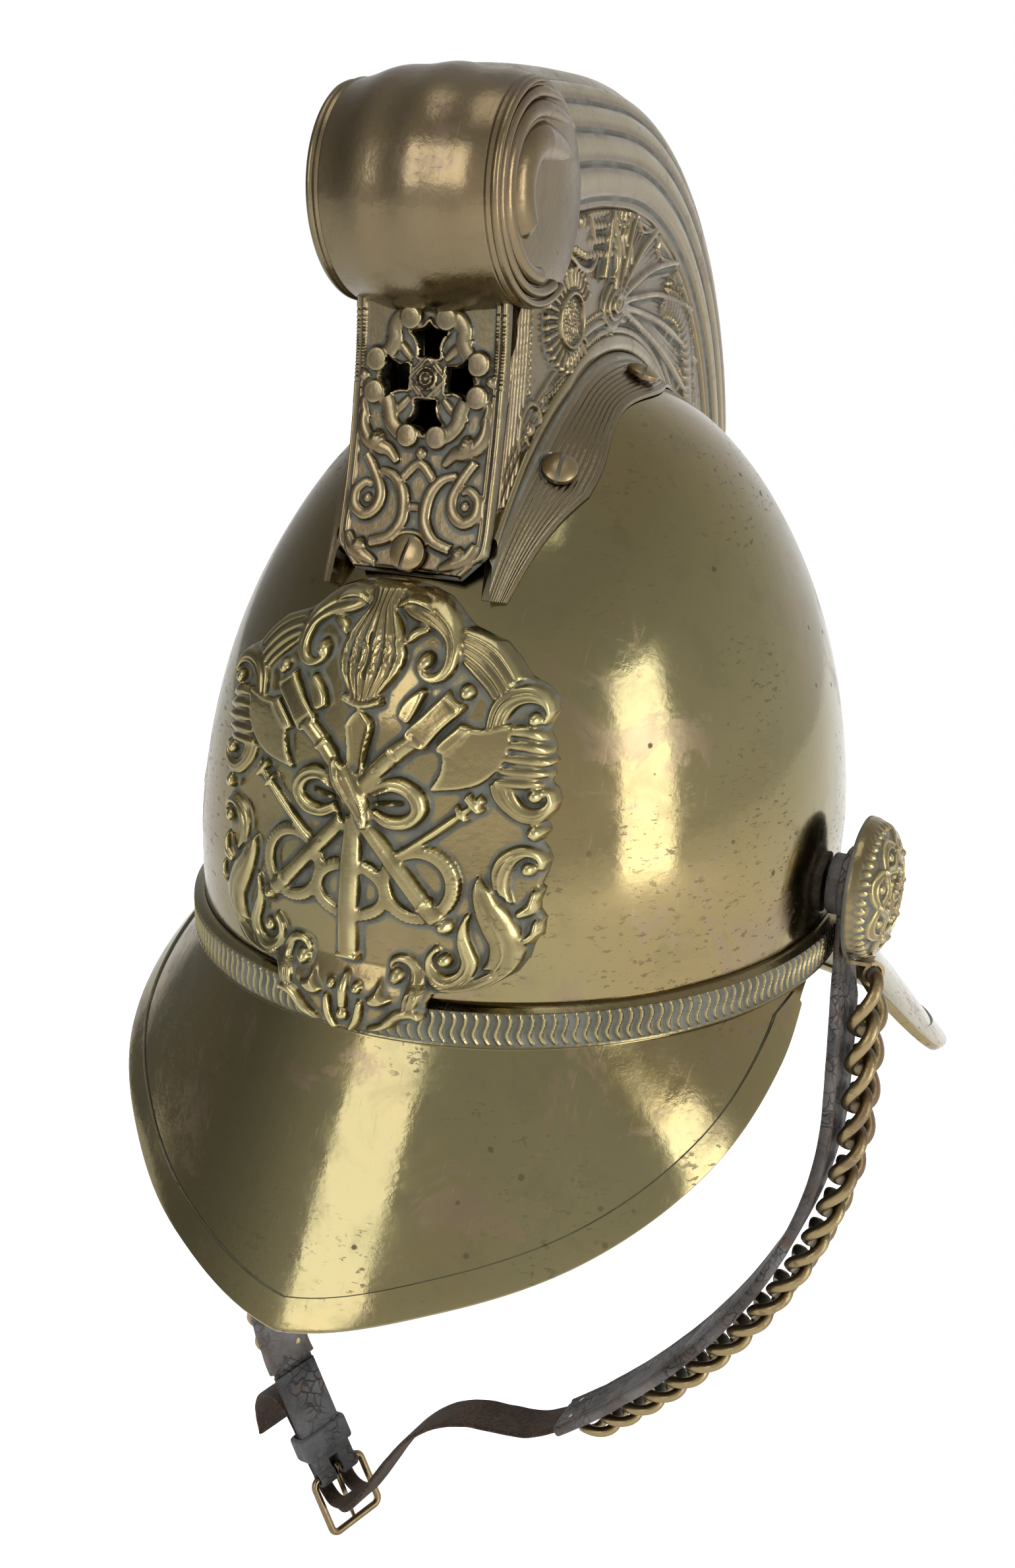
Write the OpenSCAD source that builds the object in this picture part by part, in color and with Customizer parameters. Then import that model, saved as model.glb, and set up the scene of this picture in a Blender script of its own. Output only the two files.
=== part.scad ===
// Brass firefighter helmet with crested comb, pierced front plate and chin chain.
// Millimetres. The front faces -Y, the wearer's left is +X, and +Z is up.
// The origin is the centre of the skull's base oval, at the lower edge of the base band.

/* [Skull] */
// Half width of the skull outside
skull_half_w = 90; // [86:0.5:94]
// Half length of the skull towards the front
skull_front = 100; // [96:0.5:104]
// Half length of the skull towards the back
skull_back = 109; // [105:0.5:113]
// Height of the crown above the band's lower edge
crown_h = 156; // [151:0.5:161]
// Height of the nearly upright side wall
side_h = 30; // [26:0.5:34]
// Backward lean of the crown
crown_lean = 6.2; // [4:0.1:8]
// Thickness of the skull's sheet brass
skull_wall = 1.2; // [0.9:0.1:1.5]
// Radius of the crown vent under the comb
crown_vent_r = 7; // [5:0.5:9]

/* [Base band] */
// Height of the base band
band_h = 11.3; // [9:0.1:13]
// Thickness of the base band
band_t = 1.3; // [1:0.1:1.6]

/* [Peak and neck guard] */
// Thickness of the peak's and the neck guard's sheet
brim_t = 1; // [0.8:0.1:1.3]
// Reach of the peak from the skull, measured down its slope
peak_reach = 72; // [66:0.5:78]
// Reach of the neck guard from the skull, measured down its slope
guard_reach = 89; // [80:0.5:94]
// Slope of the neck guard below level
guard_slope = 50.5; // [46:0.5:54]
// Width of the binding strip that wraps each edge
binding_w = 7.6; // [6:0.1:9]
// Thickness of the binding strip
binding_t = 0.7; // [0.5:0.05:0.9]

/* [Comb] */
// Half width of the comb at its front
comb_half_w = 20.5; // [19:0.1:22]
// Half width that the comb loses per degree round its arc
comb_taper = 0.115; // [0.1:0.005:0.12]
// Radius of the comb's ridge about the comb's centre
ridge_r = 143; // [139:0.5:147]
// Radius of the panel's upper border
panel_r = 114.5; // [112:0.5:117]
// Wall of the comb's sheet
comb_wall = 1; // [0.8:0.1:1.2]
// Height of the moulding above the skull
moulding_rise = 5; // [4:0.1:6]
// Width of the skirt that spreads from the comb onto the skull
skirt_w = 13; // [11.5:0.1:14]
// Height of the ribs on the crest
rib_h = 1.3; // [0.8:0.1:1.6]

/* [Roll] */
// Radius of the roll in its middle
roll_mid_r = 28.5; // [27:0.1:29.5]
// Radius of the roll at its ends
roll_end_r = 25.5; // [24:0.1:26.5]
// Half length of the roll, over its end beads
roll_half_len = 24; // [23:0.1:25]
// Wall of the roll's sheet
roll_wall = 1.2; // [1:0.1:1.5]

/* [Front plate] */
// Thickness of the pierced front plate
plate_t = 1.5; // [1.2:0.1:1.8]
// Half width of the front plate
plate_half_w = 20.2; // [19:0.1:20.4]
// Radius to which the front plate is bent
plate_bend_r = 205; // [195:1:215]
// Centre height of the cross shaped vent
vent_z = 154.5; // [152:0.5:155]
// Length of each arm of the vent, from its centre
vent_arm = 12.5; // [11:0.1:13.5]

/* [Badge] */
// Height of the badge
badge_h = 107; // [102:0.5:107]
// Half width of the badge at its widest
badge_half_w = 45.5; // [43:0.5:47]
// Thickness of the badge's sheet
badge_t = 1.6; // [1.2:0.1:2]
// Height by which the badge's upper part stands off the curving skull
badge_lift = 5.5; // [4:0.1:6]

/* [Rosettes and studs] */
// Radius of each rosette
rosette_r = 20; // [19:0.1:20.5]
// Height of each rosette's dome
rosette_h = 11; // [9:0.1:12]
// Distance of the studs behind the middle of the helmet
stud_y = 5.4; // [4:0.1:7]
// Height of the studs
stud_z = 20.7; // [20.5:0.1:22]
// Diameter of the studs
stud_d = 5; // [4:0.1:6]

/* [Chin strap] */
// Thickness of the chain's leather backing
backing_t = 3.8; // [3.4:0.1:4.2]
// Width of the leather backing
backing_w = 24; // [20:0.5:24]
// Pitch of the chain at the rosette
pitch_top = 12; // [11.5:0.1:12.4]
// Pitch of the chain near the chin
pitch_low = 9; // [8.6:0.1:9.4]
// Wire diameter of the largest link
link_wire = 3.9; // [3.4:0.1:4]
// Links on each side
link_count = 20; // [16:1:20]
// Thickness of the suede strap and of the buckle's loop
strap_t = 1.8; // [1.5:0.1:2]
// Width of the suede strap
strap_w = 15; // [13:0.5:16]

/* [Liner] */
// Height of the leather headband
liner_h = 40; // [34:1:44]
// Thickness of the leather headband and its tongues
liner_t = 2; // [1.6:0.1:2.4]
// Room between the skull and the headband
liner_room = 6.5; // [5:0.1:8]
// Number of tongues
tongue_count = 8; // [6:1:8]

/* [Hidden] */
$fn = 48;

// Clearance between pieces that seat on one another
seat = 0.3;
// Running clearance round pins
run = 0.3;
// Gap between a flat nut's middle and the curved wall behind it
nut_gap = 0.7;
// Columns round the skull's shell
skull_columns = 48;
// Exponent of the skull's plan oval and of its upright profile
plan_n = 2.2;
rise_m = 1.765;
// Share by which the skull's side draws in at its foot
foot_draw = 0.008;
// Centre of the comb's arcs
comb_y = 15;
comb_z = 86;
// First and last angle of the comb round that centre
comb_front_deg = 168;
comb_tail_deg = -24;
// Centre of the roll
roll_y = -56;
roll_z = 196.5;
// Axis of the front plate's bend
plate_axis_z = 176;
plate_axis_y = -64.2 - plate_bend_r;
// Sheet brass colours as seen
brass = [0.58, 0.52, 0.30];
dull_brass = [0.42, 0.37, 0.25];
leather = [0.30, 0.29, 0.28];
suede = [0.24, 0.17, 0.12];

// Closed skin through rings of equal length; a ring runs counterclockwise seen from the next ring.
// The ends close flat, or between an outer and an inner line of a bent section: zip[i] is then the inner
// point facing the outer point i.
module loft(rings, wrap = false, zip = []) {
    n = len(rings[0]);
    m = len(rings);
    sides = [for (k = [0 : (wrap ? m : m - 1) - 1]) for (i = [0 : n - 1])
        let (a = k * n + i, b = k * n + (i + 1) % n, next = ((k + 1) % m) * n)
        each [[a, next + i, next + (i + 1) % n], [a, next + (i + 1) % n, b]]];
    last = (m - 1) * n;
    zipped = [for (i = [0 : len(zip) - 2])
        each concat([[i, i + 1, zip[i]]], zip[i + 1] < zip[i] ? [[i + 1, zip[i + 1], zip[i]]] : [])];
    caps = wrap ? []
        : len(zip) > 0 ? concat(zipped, [for (f = zipped) [last + f[2], last + f[1], last + f[0]]])
        : [[for (i = [0 : n - 1]) i], [for (i = [n - 1 : -1 : 0]) last + i]];
    polyhedron(points = [for (r = rings) each r], faces = concat(sides, caps), convexity = 8);
}

// Smooth curve through evenly spaced values, u from 0 to 1
function smooth(v, u) =
    let (n = len(v) - 1, s = min(max(u, 0), 1) * n, i = min(floor(s), n - 1), f = s - i,
        a = v[max(i - 1, 0)], b = v[i], c = v[i + 1], d = v[min(i + 2, n)])
    b + (c - a) * f / 2 + (a - 2.5 * b + 2 * c - d / 2) * f * f + (1.5 * b - a / 2 - 1.5 * c + d / 2) * f * f * f;

function unit(v) = v / norm(v);
function mix(a, b, t) = a + (b - a) * t;

// Skull surface
function lean_at(z) = crown_lean * pow(max(z, 0) / crown_h, 1.5);
function side_scale(z) = 1 - foot_draw * (1 - min(z / side_h, 1));
function rise_angle(z, off) = asin(pow(min(max(z - side_h, 0) / (crown_h + off - side_h), 1), rise_m / 2));
function oval_scale(z, off) = z <= side_h ? side_scale(z) : pow(cos(rise_angle(z, off)), 2 / plan_n);
// Point on the skull at plan angle t and height z, moved outwards by off
function skull_at(t, z, off = 0) =
    let (k = oval_scale(z, off), a = sin(t) < 0 ? skull_front : skull_back)
    [(skull_half_w + off) * k * cos(t), (a + off) * k * sin(t) + lean_at(z), z];
// Ring of the skull at rise angle f, or on the side wall at height z
function skull_ring(z, off, n) = [for (i = [0 : n - 1]) skull_at(360 * i / n, z, off)];
function level(p, off) =
    let (k = max(oval_scale(p.z, off), 0.0001), y = p.y - lean_at(p.z), a = y < 0 ? skull_front : skull_back)
    pow(p.x / (skull_half_w + off) / k, 2) + pow(y / (a + off) / k, 2);
function inside_skull(p, off) = p.z < crown_h + off && level(p, off) < 1;
// Outward normal of the skull at a point on it
function skull_normal(p) =
    unit([for (e = [[0.2, 0, 0], [0, 0.2, 0], [0, 0, 0.2]]) level(p + e, 0) - level(p - e, 0)]);

// Point in the plane x, at radius r and angle g round the comb's centre
function comb_at(x, r, g) = [x, comb_y + r * cos(g), comb_z + r * sin(g)];
// Radius round the comb's centre at which the plane x meets the skull
function skull_radius(x, g, off = 0, lo = 20, hi = 170, steps = 15) =
    let (mid = (lo + hi) / 2)
    steps == 0 ? mid
        : inside_skull(comb_at(x, mid, g), off) ? skull_radius(x, g, off, mid, hi, steps - 1)
        : skull_radius(x, g, off, lo, mid, steps - 1);

// Turns +Z to the direction n at the point p
module stand(p, n) {
    translate(p) rotate([0, acos(n.z), atan2(n.y, n.x)]) children();
}

// Screws through the comb's skirts: angle round the comb's centre, and distance from the comb's side
side_screw_deg = [143.3, 98, 54];
side_screw_out = [5.6, 8.6, 7.4];
screw_d = 3.2;
function half_w(g) = comb_half_w - comb_taper * max(0, 125 - g);
function side_screw_point(i) =
    let (g = side_screw_deg[i], x = half_w(g) + side_screw_out[i])
    comb_at(x, skull_radius(x, g), g);
module at_side_screws(mirrored = [0, 1]) {
    for (side = mirrored)
        mirror([side, 0, 0])
            for (i = [0 : len(side_screw_deg) - 1])
                stand(side_screw_point(i), skull_normal(side_screw_point(i))) children();
}

// Badge studs, on the middle line; $lift is the badge's stand off there
badge_stud_z = [34, 74];
badge_stud_d = 3;
module at_badge_studs() {
    for (z = badge_stud_z)
        let ($lift = badge_lift_at(z)) stand(skull_at(-90, z), skull_normal(skull_at(-90, z))) children();
}

// Height of the badge's foot, low on the base band
badge_foot = 1.5;
// The plate's foot stands clear of the badge's top and of the skull, whichever is higher
plate_gap = 0.8;
plate_corner = 6;
function plate_back_y(z) = plate_axis_y + sqrt(pow(plate_bend_r + plate_t, 2) - pow(plate_axis_z - z, 2));
function clear_z(lo = 96, hi = 150, steps = 15) =
    let (mid = (lo + hi) / 2)
    steps == 0 ? mid
        : inside_skull([plate_half_w - plate_corner, plate_back_y(mid), mid], seat) ? clear_z(mid, hi, steps - 1)
        : clear_z(lo, mid, steps - 1);
plate_foot_z = max(badge_foot + badge_h + plate_gap, clear_z());
front_screw_z = plate_foot_z + 4.7;
module at_front_screw() {
    translate([0, plate_axis_y + sqrt(pow(plate_bend_r, 2) - pow(plate_axis_z - front_screw_z, 2)), front_screw_z])
        rotate([acos((plate_axis_z - front_screw_z) / plate_bend_r), 0, 0]) children();
}

module at_studs() {
    for (side = [0, 1])
        mirror([side, 0, 0]) translate([skull_half_w, stud_y, stud_z]) rotate([0, 90, 0]) children();
}

module skull() {
    vent_z_top = crown_h - 1.1;
    low = [0, side_h / 2];
    rises = [for (f = [0, 10, 20, 31, 42, 53, 63, 72, 79]) f];
    function ring_z(f, h) = side_h + (h - side_h) * pow(sin(f), 2 / rise_m);
    function vent_angle(off) = acos(pow(crown_vent_r / (skull_half_w + off), plan_n / 2));
    function wall_rings(off) =
        let (h = crown_h + off)
        concat([for (z = low) skull_ring(z, off, skull_columns)],
            [for (f = rises) skull_ring(ring_z(f, h), off, skull_columns)],
            [skull_ring(ring_z(vent_angle(off), h), off, skull_columns)]);
    inner = wall_rings(-skull_wall);
    color(brass)
        difference() {
            loft(concat(wall_rings(0), [for (i = [len(inner) - 1 : -1 : 0]) inner[i]]), wrap = true);
            at_side_screws() cylinder(d = screw_d + 2 * run, h = 12, center = true);
            at_badge_studs() cylinder(d = badge_stud_d + 2 * run, h = 12, center = true);
            at_studs() cylinder(d = stud_d + 2 * run, h = 14, center = true);
            at_front_screw() translate([0, 0, -8]) cylinder(d = screw_d + 2 * run, h = 14, center = true);
        }
}

// The band stands clear of the brims' flanges, which lie between it and the skull
band_off = seat + brim_t + seat;
module base_band() {
    bead = 0.5;
    sections = [[0, 0], [0, band_t], [0.18, band_t + bead], [0.82, band_t + bead], [1, band_t], [1, 0]];
    color(brass)
        loft([for (i = [0 : 63])
            let (t = 360 * i / 64)
            [for (s = sections) skull_at(t, s[0] * band_h, band_off + s[1])]], wrap = true);
}

// A brim is a flange inside the band, a bend at the band's foot and a slope down to the edge
peak_half_deg = 83;
guard_start_deg = 9.5;
guard_corner_deg = 20;
flange_h = 9;
peak_reach_shape = [1, 0.85, 0.69, 0.465, 0.21, 0.004];
peak_slopes = [60, 61, 62, 55, 50, 50];
function peak_len(t) = peak_reach * smooth(peak_reach_shape, abs(t + 90) / peak_half_deg);
function peak_fall(t) = smooth(peak_slopes, abs(t + 90) / peak_half_deg);
function guard_len(t) =
    let (a = t > 90 ? 180 - t : t, c = max(0, guard_corner_deg - a) / (guard_corner_deg - guard_start_deg))
    max(0.3, guard_reach * sqrt(sin(a)) * sqrt(max(0, 1 - c * c)));
function brim_out(t) = let (p = skull_at(t, 0)) unit([p.x / pow(skull_half_w, 2), p.y / pow(skull_back, 2), 0]);
// Point of a brim: s along its slope, h square to the slope
function brim_at(t, s, h, fall) =
    skull_at(t, 0, seat + brim_t) + [0, 0, -0.5] + s * (brim_out(t) * cos(fall) - [0, 0, sin(fall)])
        + h * (brim_out(t) * sin(fall) + [0, 0, cos(fall)]);
function bound_w(reach) = min(binding_w, reach * 0.6 + 1);
function brim_section(t, reach, fall) =
    let (bound = max(reach * 0.1, reach - bound_w(reach)))
    [skull_at(t, flange_h, seat),
    skull_at(t, flange_h, seat + brim_t),
    skull_at(t, 0, seat + brim_t) + [0, 0, 0.1],
    brim_at(t, bound, 0, fall),
    brim_at(t, reach, 0, fall),
    brim_at(t, reach, -brim_t, fall),
    brim_at(t, bound, -brim_t, fall),
    skull_at(t, 0, seat) + [0, 0, -1.2]];
// U section that wraps the last stretch of a brim's edge
function binding_section(t, reach, fall) =
    let (w = bound_w(reach), c = 0.2, top = c + binding_t, low = -brim_t - c)
    [brim_at(t, reach - w, c, fall),
    brim_at(t, reach - w, top, fall),
    brim_at(t, reach + c + binding_t, top, fall),
    brim_at(t, reach + c + binding_t, low - binding_t, fall),
    brim_at(t, reach - w * 0.55, low - binding_t, fall),
    brim_at(t, reach - w * 0.55, low, fall),
    brim_at(t, reach + c, low, fall),
    brim_at(t, reach + c, c, fall)];
peak_angles = [for (i = [-14 : 14]) -90 + peak_half_deg * sin(90 * i / 14)];
guard_angles = [for (i = [-14 : 14]) 90 + (90 - guard_start_deg) * sin(90 * i / 14)];
module front_peak() {
    color(brass) loft([for (t = peak_angles) brim_section(t, peak_len(t), peak_fall(t))]);
}
module neck_guard() {
    color(brass) loft([for (t = guard_angles) brim_section(t, guard_len(t), guard_slope)]);
}
module peak_binding() {
    bound = [for (t = peak_angles) if (peak_len(t) > 4) t];
    color(brass) loft([for (t = bound) binding_section(t, peak_len(t), peak_fall(t))]);
}
module guard_binding() {
    bound = [for (t = guard_angles) if (guard_len(t) > 14) t];
    color(brass) loft([for (t = bound) binding_section(t, guard_len(t), guard_slope)]);
}

// The badge is a shield of scrolls, crowned by the torch. Its foot laps over the base band, its middle lies on
// the skull, and its upper part stands off, because it bends less than the skull does
badge_outline = [0.06, 0.41, 0.87, 0.96, 0.95, 0.96, 1, 0.98, 0.93, 0.80, 0.56, 0.13];
badge_stand = [0, 0, 0, 0, 0, 0.05, 0.27, 0.58, 0.91, 1, 0.87, 0.73];
function badge_lift_at(z) =
    let (f = min(max((z - band_h - 0.8) / 8, 0), 1))
    max(badge_lift * smooth(badge_stand, (z - badge_foot) / badge_h),
        (band_off + band_t + 0.5) * (1 - f * f * (3 - 2 * f)));
badge_rows = 28;
module badge() {
    across = [-1, -0.92, -0.7, -0.45, -0.2, 0, 0.2, 0.45, 0.7, 0.92, 1];
    // Relief: a raised border, a raised middle and hollows between them
    function relief(u, v) = 1.2 * pow(abs(u), 6) + 2.2 * exp(-12 * u * u) * sin(180 * min(max(v, 0), 1)) + 0.6;
    function plate_point(u, v, high) =
        let (z = badge_foot + badge_h * v, off = seat + high + badge_lift_at(z),
            x = badge_half_w * smooth(badge_outline, v) * u, k = oval_scale(z, off) * (skull_half_w + off))
        skull_at(-acos(min(max(x / k, -1), 1)), z, off);
    color(brass)
        difference() {
            loft([for (j = [0 : badge_rows])
                let (v = j / badge_rows)
                concat([for (u = across) plate_point(u, v, badge_t + relief(u, v))],
                    [for (i = [len(across) - 1 : -1 : 0]) plate_point(across[i], v, 0)])]);
            at_badge_studs() cylinder(d = badge_stud_d + 2 * run, h = 2 * (seat + badge_t + $lift), center = true);
        }
}
module badge_studs() {
    color(brass)
        at_badge_studs() translate([0, 0, -8]) cylinder(d = badge_stud_d, h = 7.8 + seat + badge_t + 0.93 * $lift);
}
module hex_nut(across_flats, thick, bore) {
    difference() {
        cylinder(d = across_flats / cos(30), h = thick, $fn = 6);
        translate([0, 0, -1]) cylinder(d = bore, h = thick + 2);
    }
}
module badge_nuts() {
    color(brass) at_badge_studs() translate([0, 0, -skull_wall - nut_gap - 2.6]) hex_nut(6, 2.6, badge_stud_d + 0.1);
}

// Radii of the comb at the angle g: ridge, panel border and the moulding above the skirt
function moulding_at(g) = skull_radius(half_w(g), g) + moulding_rise;
function ridge_at(g) =
    max(moulding_at(g) + 10, ridge_r + 0.0175 * pow(max(0, g - 90), 2) - 30 * pow(max(0, 20 - g) / 44, 2));
function border_at(g) =
    let (low = moulding_at(g)) min(panel_r + 0.45 * max(0, g - 93), low + 0.55 * (ridge_at(g) - low));
// The upper edge of the panel runs ahead of the lower one at the front
function upper_deg(g) = g - 44 * pow(max(0, g - 90) / 78, 1.6);
function skirt_at(g) = skirt_w * (0.35 + 0.65 * min(1, (comb_front_deg - g) / 22)) * min(1, 0.35 + (g - comb_tail_deg) / 60)
    + 1.6 * cos(360 * (g - side_screw_deg[1]) / 45) * min(1, (comb_front_deg - g) / 30);
rib_turns = [for (i = [0 : 8]) 7.75 * i];
function rib_bump(a, tall) = rib_h * abs(sin(180 * a / 15.5)) * min(1, tall / 20);
// Inner point of the section that faces each outer point
comb_zip = [28, 28, 27, 27, 27, 26, 26, 26, 26, 26, 25, 25, 25, 24, 23, 23, 23, 22, 21, 20];
function comb_section(g) =
    let (w = half_w(g), gu = upper_deg(g), low = moulding_at(g), border = border_at(gu), ridge = ridge_at(gu),
        skirt = skirt_at(g), foot = comb_at(0, low, g), head = comb_at(0, border, gu), top = comb_at(0, ridge, gu),
        up = unit(head - foot) * min(1, norm(head - foot) / 14), rise = top - head, tall = norm(rise),
        tip = comb_wall * rise / tall,
        on = function (x, h) comb_at(x, skull_radius(x, g) + h, g))
    concat(
        [for (a = [90, 80, 71]) [w * cos(a) + 0.1, 0, 0] + head + rise * sin(a)],
        [for (i = [len(rib_turns) - 1 : -1 : 0])
            let (a = rib_turns[i], b = rib_bump(a, tall))
            [(w + b) * cos(a) + 0.1, 0, 0] + head + rise * sin(a) * (1 + b / tall)],
        [[w + 0.1, 0, 0] + head - 1.5 * up,
        [w - 0.5, 0, 0] + head - 2.5 * up,
        [w - 0.5, 0, 0] + foot + 4 * up,
        [w + 0.9, 0, 0] + foot + 3 * up,
        [w + 0.9, 0, 0] + foot,
        on(w + skirt * 0.25, 2.6),
        on(w + skirt * 0.6, 1.5),
        on(w + skirt, seat + comb_wall),
        on(w + skirt, seat),
        on(w + skirt * 0.3, seat),
        on(w - 0.5 - comb_wall, seat),
        [w - 0.5 - comb_wall, 0, 0] + foot + 4 * up,
        [w - 0.5 - comb_wall, 0, 0] + head - 2.5 * up],
        [for (a = [0, 35, 65]) [(w - comb_wall) * cos(a), 0, 0] + head + (rise - tip) * sin(a)],
        [[0.1, 0, 0] + top - tip]);
comb_stations = 24;
module comb_half() {
    stations = [for (i = [0 : comb_stations])
        mix(comb_front_deg, comb_tail_deg, i / comb_stations)];
    difference() {
        loft([for (g = stations) comb_section(g)], zip = comb_zip);
        translate([0, plate_axis_y, plate_axis_z]) rotate([0, 90, 0])
            cylinder(r = plate_bend_r + plate_t + seat, h = 120, center = true, $fn = 180);
        roll_body(seat);
        translate([-1, roll_y - 40, roll_z]) cube([40, 40, 40]);
        at_side_screws([0]) cylinder(d = screw_d + 2 * run, h = 14, center = true);
        at_side_screws([0]) translate([0, 0, seat + 1.7]) cylinder(d = 10, h = 10);
    }
}
module comb_left() {
    color(dull_brass) comb_half();
}
module comb_right() {
    color(dull_brass) mirror([1, 0, 0]) comb_half();
}
module comb_screws() {
    color(brass)
        at_side_screws() {
            difference() {
                translate([0, 0, seat + 1.9])
                    rotate_extrude() polygon([[0, 0], [4.5, 0], [4.5, 1.2], [3.5, 2], [0, 2.5]]);
                translate([0, 0, seat + 4.4]) cube([12, 1, 1.6], center = true);
            }
            translate([0, 0, -6]) cylinder(d = screw_d, h = 6 + seat + 2);
        }
}
module comb_nuts() {
    color(brass) at_side_screws() translate([0, 0, -skull_wall - nut_gap - 2.8]) hex_nut(6.4, 2.8, screw_d + 0.1);
}

// Outside of the roll, grown by g: a barrel with a bead and a scroll face at each end
roll_bead_r = 1.6;
drum_half = roll_half_len - 3.2;
bulge_r = (pow(drum_half, 2) + pow(roll_mid_r - roll_end_r, 2)) / (2 * (roll_mid_r - roll_end_r));
module drum(g) {
    intersection() {
        translate([roll_mid_r - bulge_r, 0]) circle(r = bulge_r + g, $fn = 360);
        translate([0, -drum_half]) square([roll_mid_r + g + 1, 2 * drum_half]);
    }
}
module roll_body(g = 0) {
    translate([0, roll_y, roll_z]) rotate([0, 90, 0])
        rotate_extrude($fn = 72) {
            drum(g);
            for (s = [-1, 1])
                translate([roll_end_r - roll_bead_r, s * (roll_half_len - 2.4)]) circle(r = roll_bead_r + g);
            translate([0, -(roll_half_len - 0.8) - g])
                square([roll_end_r - roll_bead_r, 2 * (roll_half_len - 0.8 + g)]);
        }
}
module comb_roll() {
    face_x = roll_half_len - 0.8;
    scroll_rings = [20.5, 15, 9.5];
    color(dull_brass)
        difference() {
            union() {
                roll_body();
                translate([0, roll_y, roll_z])
                    for (s = [-1, 1]) {
                        for (r = scroll_rings)
                            translate([s * face_x, 0, 0]) rotate([0, 90, 0])
                                rotate_extrude() translate([r, 0]) circle(r = 1.5, $fn = 24);
                        translate([s * face_x, 0, 0]) sphere(r = 5);
                    }
            }
            // The rolled sheet is hollow and opens towards the inside of the comb
            translate([0, roll_y, roll_z]) {
                rotate([0, 90, 0]) {
                    rotate_extrude($fn = 72) drum(-roll_wall);
                    cylinder(r = roll_end_r - 2 * roll_bead_r, h = 2 * (face_x - roll_wall), center = true);
                }
                rotate([-147, 0, 0]) translate([-14, -6, 0]) cube([28, 12, 40]);
            }
        }
}

// Outline of the vent's four arms, each flaring outwards to a scalloped end
module vent_arms() {
    for (a = [0 : 90 : 270])
        rotate(a)
            difference() {
                polygon([[-1.6, 5.6], [1.6, 5.6], [4.6, vent_arm - 1.4], [0, vent_arm + 0.4], [-4.6, vent_arm - 1.4]]);
                translate([0, vent_arm + 2.2]) circle(r = 1.9, $fn = 24);
            }
}
module comb_front_plate() {
    foot_z = plate_foot_z;
    corner = plate_corner;
    top_z = roll_z - 21;
    bossed = 1.2;
    front_y = plate_axis_y + plate_bend_r;
    color(brass)
        difference() {
            union() {
                intersection() {
                    translate([0, plate_axis_y, plate_axis_z]) rotate([0, 90, 0])
                        difference() {
                            cylinder(r = plate_bend_r + plate_t, h = 60, center = true, $fn = 180);
                            cylinder(r = plate_bend_r, h = 61, center = true, $fn = 180);
                        }
                    translate([0, front_y + 10, 0]) rotate([90, 0, 0]) linear_extrude(30)
                        polygon([[-plate_half_w + corner, foot_z], [plate_half_w - corner, foot_z],
                            [plate_half_w, foot_z + corner], [plate_half_w, top_z],
                            [-plate_half_w, top_z], [-plate_half_w, foot_z + corner]]);
                }
                // Raised edge mouldings on both sides
                intersection() {
                    translate([0, plate_axis_y, plate_axis_z]) rotate([0, 90, 0])
                        difference() {
                            cylinder(r = plate_bend_r + 0.2, h = 60, center = true, $fn = 180);
                            cylinder(r = plate_bend_r - bossed, h = 61, center = true, $fn = 180);
                        }
                    translate([0, front_y + 10, 0]) rotate([90, 0, 0]) linear_extrude(30)
                        for (s = [-1, 1])
                            translate([s * (plate_half_w - 1.2) - 1.2, foot_z + corner]) square([2.4, top_z - foot_z - corner]);
                }
                // Diamond boss in the middle of the vent
                translate([0, front_y - 2.4, vent_z]) rotate([-90, 0, 0]) rotate(45) translate([-3.6, -3.6, 0]) cube([7.2, 7.2, 3.6]);
            }
            translate([0, front_y + 10, vent_z]) rotate([90, 0, 0]) linear_extrude(30) vent_arms();
            at_front_screw() cylinder(d = screw_d + 2 * run, h = 14, center = true);
            roll_body(seat);
        }
}
module front_screw() {
    color(brass)
        at_front_screw() {
            difference() {
                translate([0, 0, 0.4]) rotate_extrude() polygon([[0, 0], [4.5, 0], [4.5, 1.5], [3.5, 2.3], [0, 2.7]]);
                translate([0, 0, 3.2]) rotate(90) cube([12, 1, 1.6], center = true);
            }
            translate([0, 0, -9]) cylinder(d = screw_d, h = 9.6);
        }
}

// Stack on each stud, outwards from the skull: leather washer, strap, rosette
washer_t = band_off + band_t + 0.5 + seat - 0.2;
strap_x = skull_half_w + washer_t + 2 * seat + backing_t / 2;
// The leather is thinner under the rosette, by this much on its outer side
skive = 1.6;
hanger_t = 0.8;
hanger_x = strap_x + backing_t / 2 - skive + seat;
rosette_x = hanger_x + hanger_t + seat;
module rosette() {
    shell = 1.2;
    petals = 8;
    translate([rosette_x, stud_y, stud_z]) rotate([0, 90, 0]) {
        difference() {
            union() {
                rotate_extrude()
                    difference() {
                        polygon(concat([[0, 0]], [for (i = [0 : 12]) let (a = 90 * i / 12)
                            [rosette_r * cos(a), shell + (rosette_h - shell) * pow(sin(a), 0.8)]], [[0, rosette_h]]));
                        polygon(concat([[0, -1], [rosette_r - shell - 1, -1]], [for (i = [0 : 12]) let (a = 90 * i / 12)
                            [(rosette_r - shell - 1) * cos(a), (rosette_h - 2 * shell) * pow(sin(a), 0.8)]]));
                    }
                rotate_extrude() translate([rosette_r - 0.9, 0.9]) circle(r = 0.9, $fn = 24);
                for (i = [0 : petals - 1])
                    rotate(360 * (i + 0.5) / petals) translate([rosette_r * 0.68, 0, rosette_h * 0.62]) sphere(r = 3.1, $fn = 24);
                translate([0, 0, rosette_h - 1]) rotate_extrude() polygon([[0, 0], [5.5, 0], [5, 1.4], [3.2, 2.2], [0, 2.4]]);
                cylinder(d = stud_d + 4, h = rosette_h - 1);
            }
            translate([0, 0, -1]) cylinder(d = stud_d + 2 * 0.1, h = rosette_h - 1);
        }
    }
}
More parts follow.
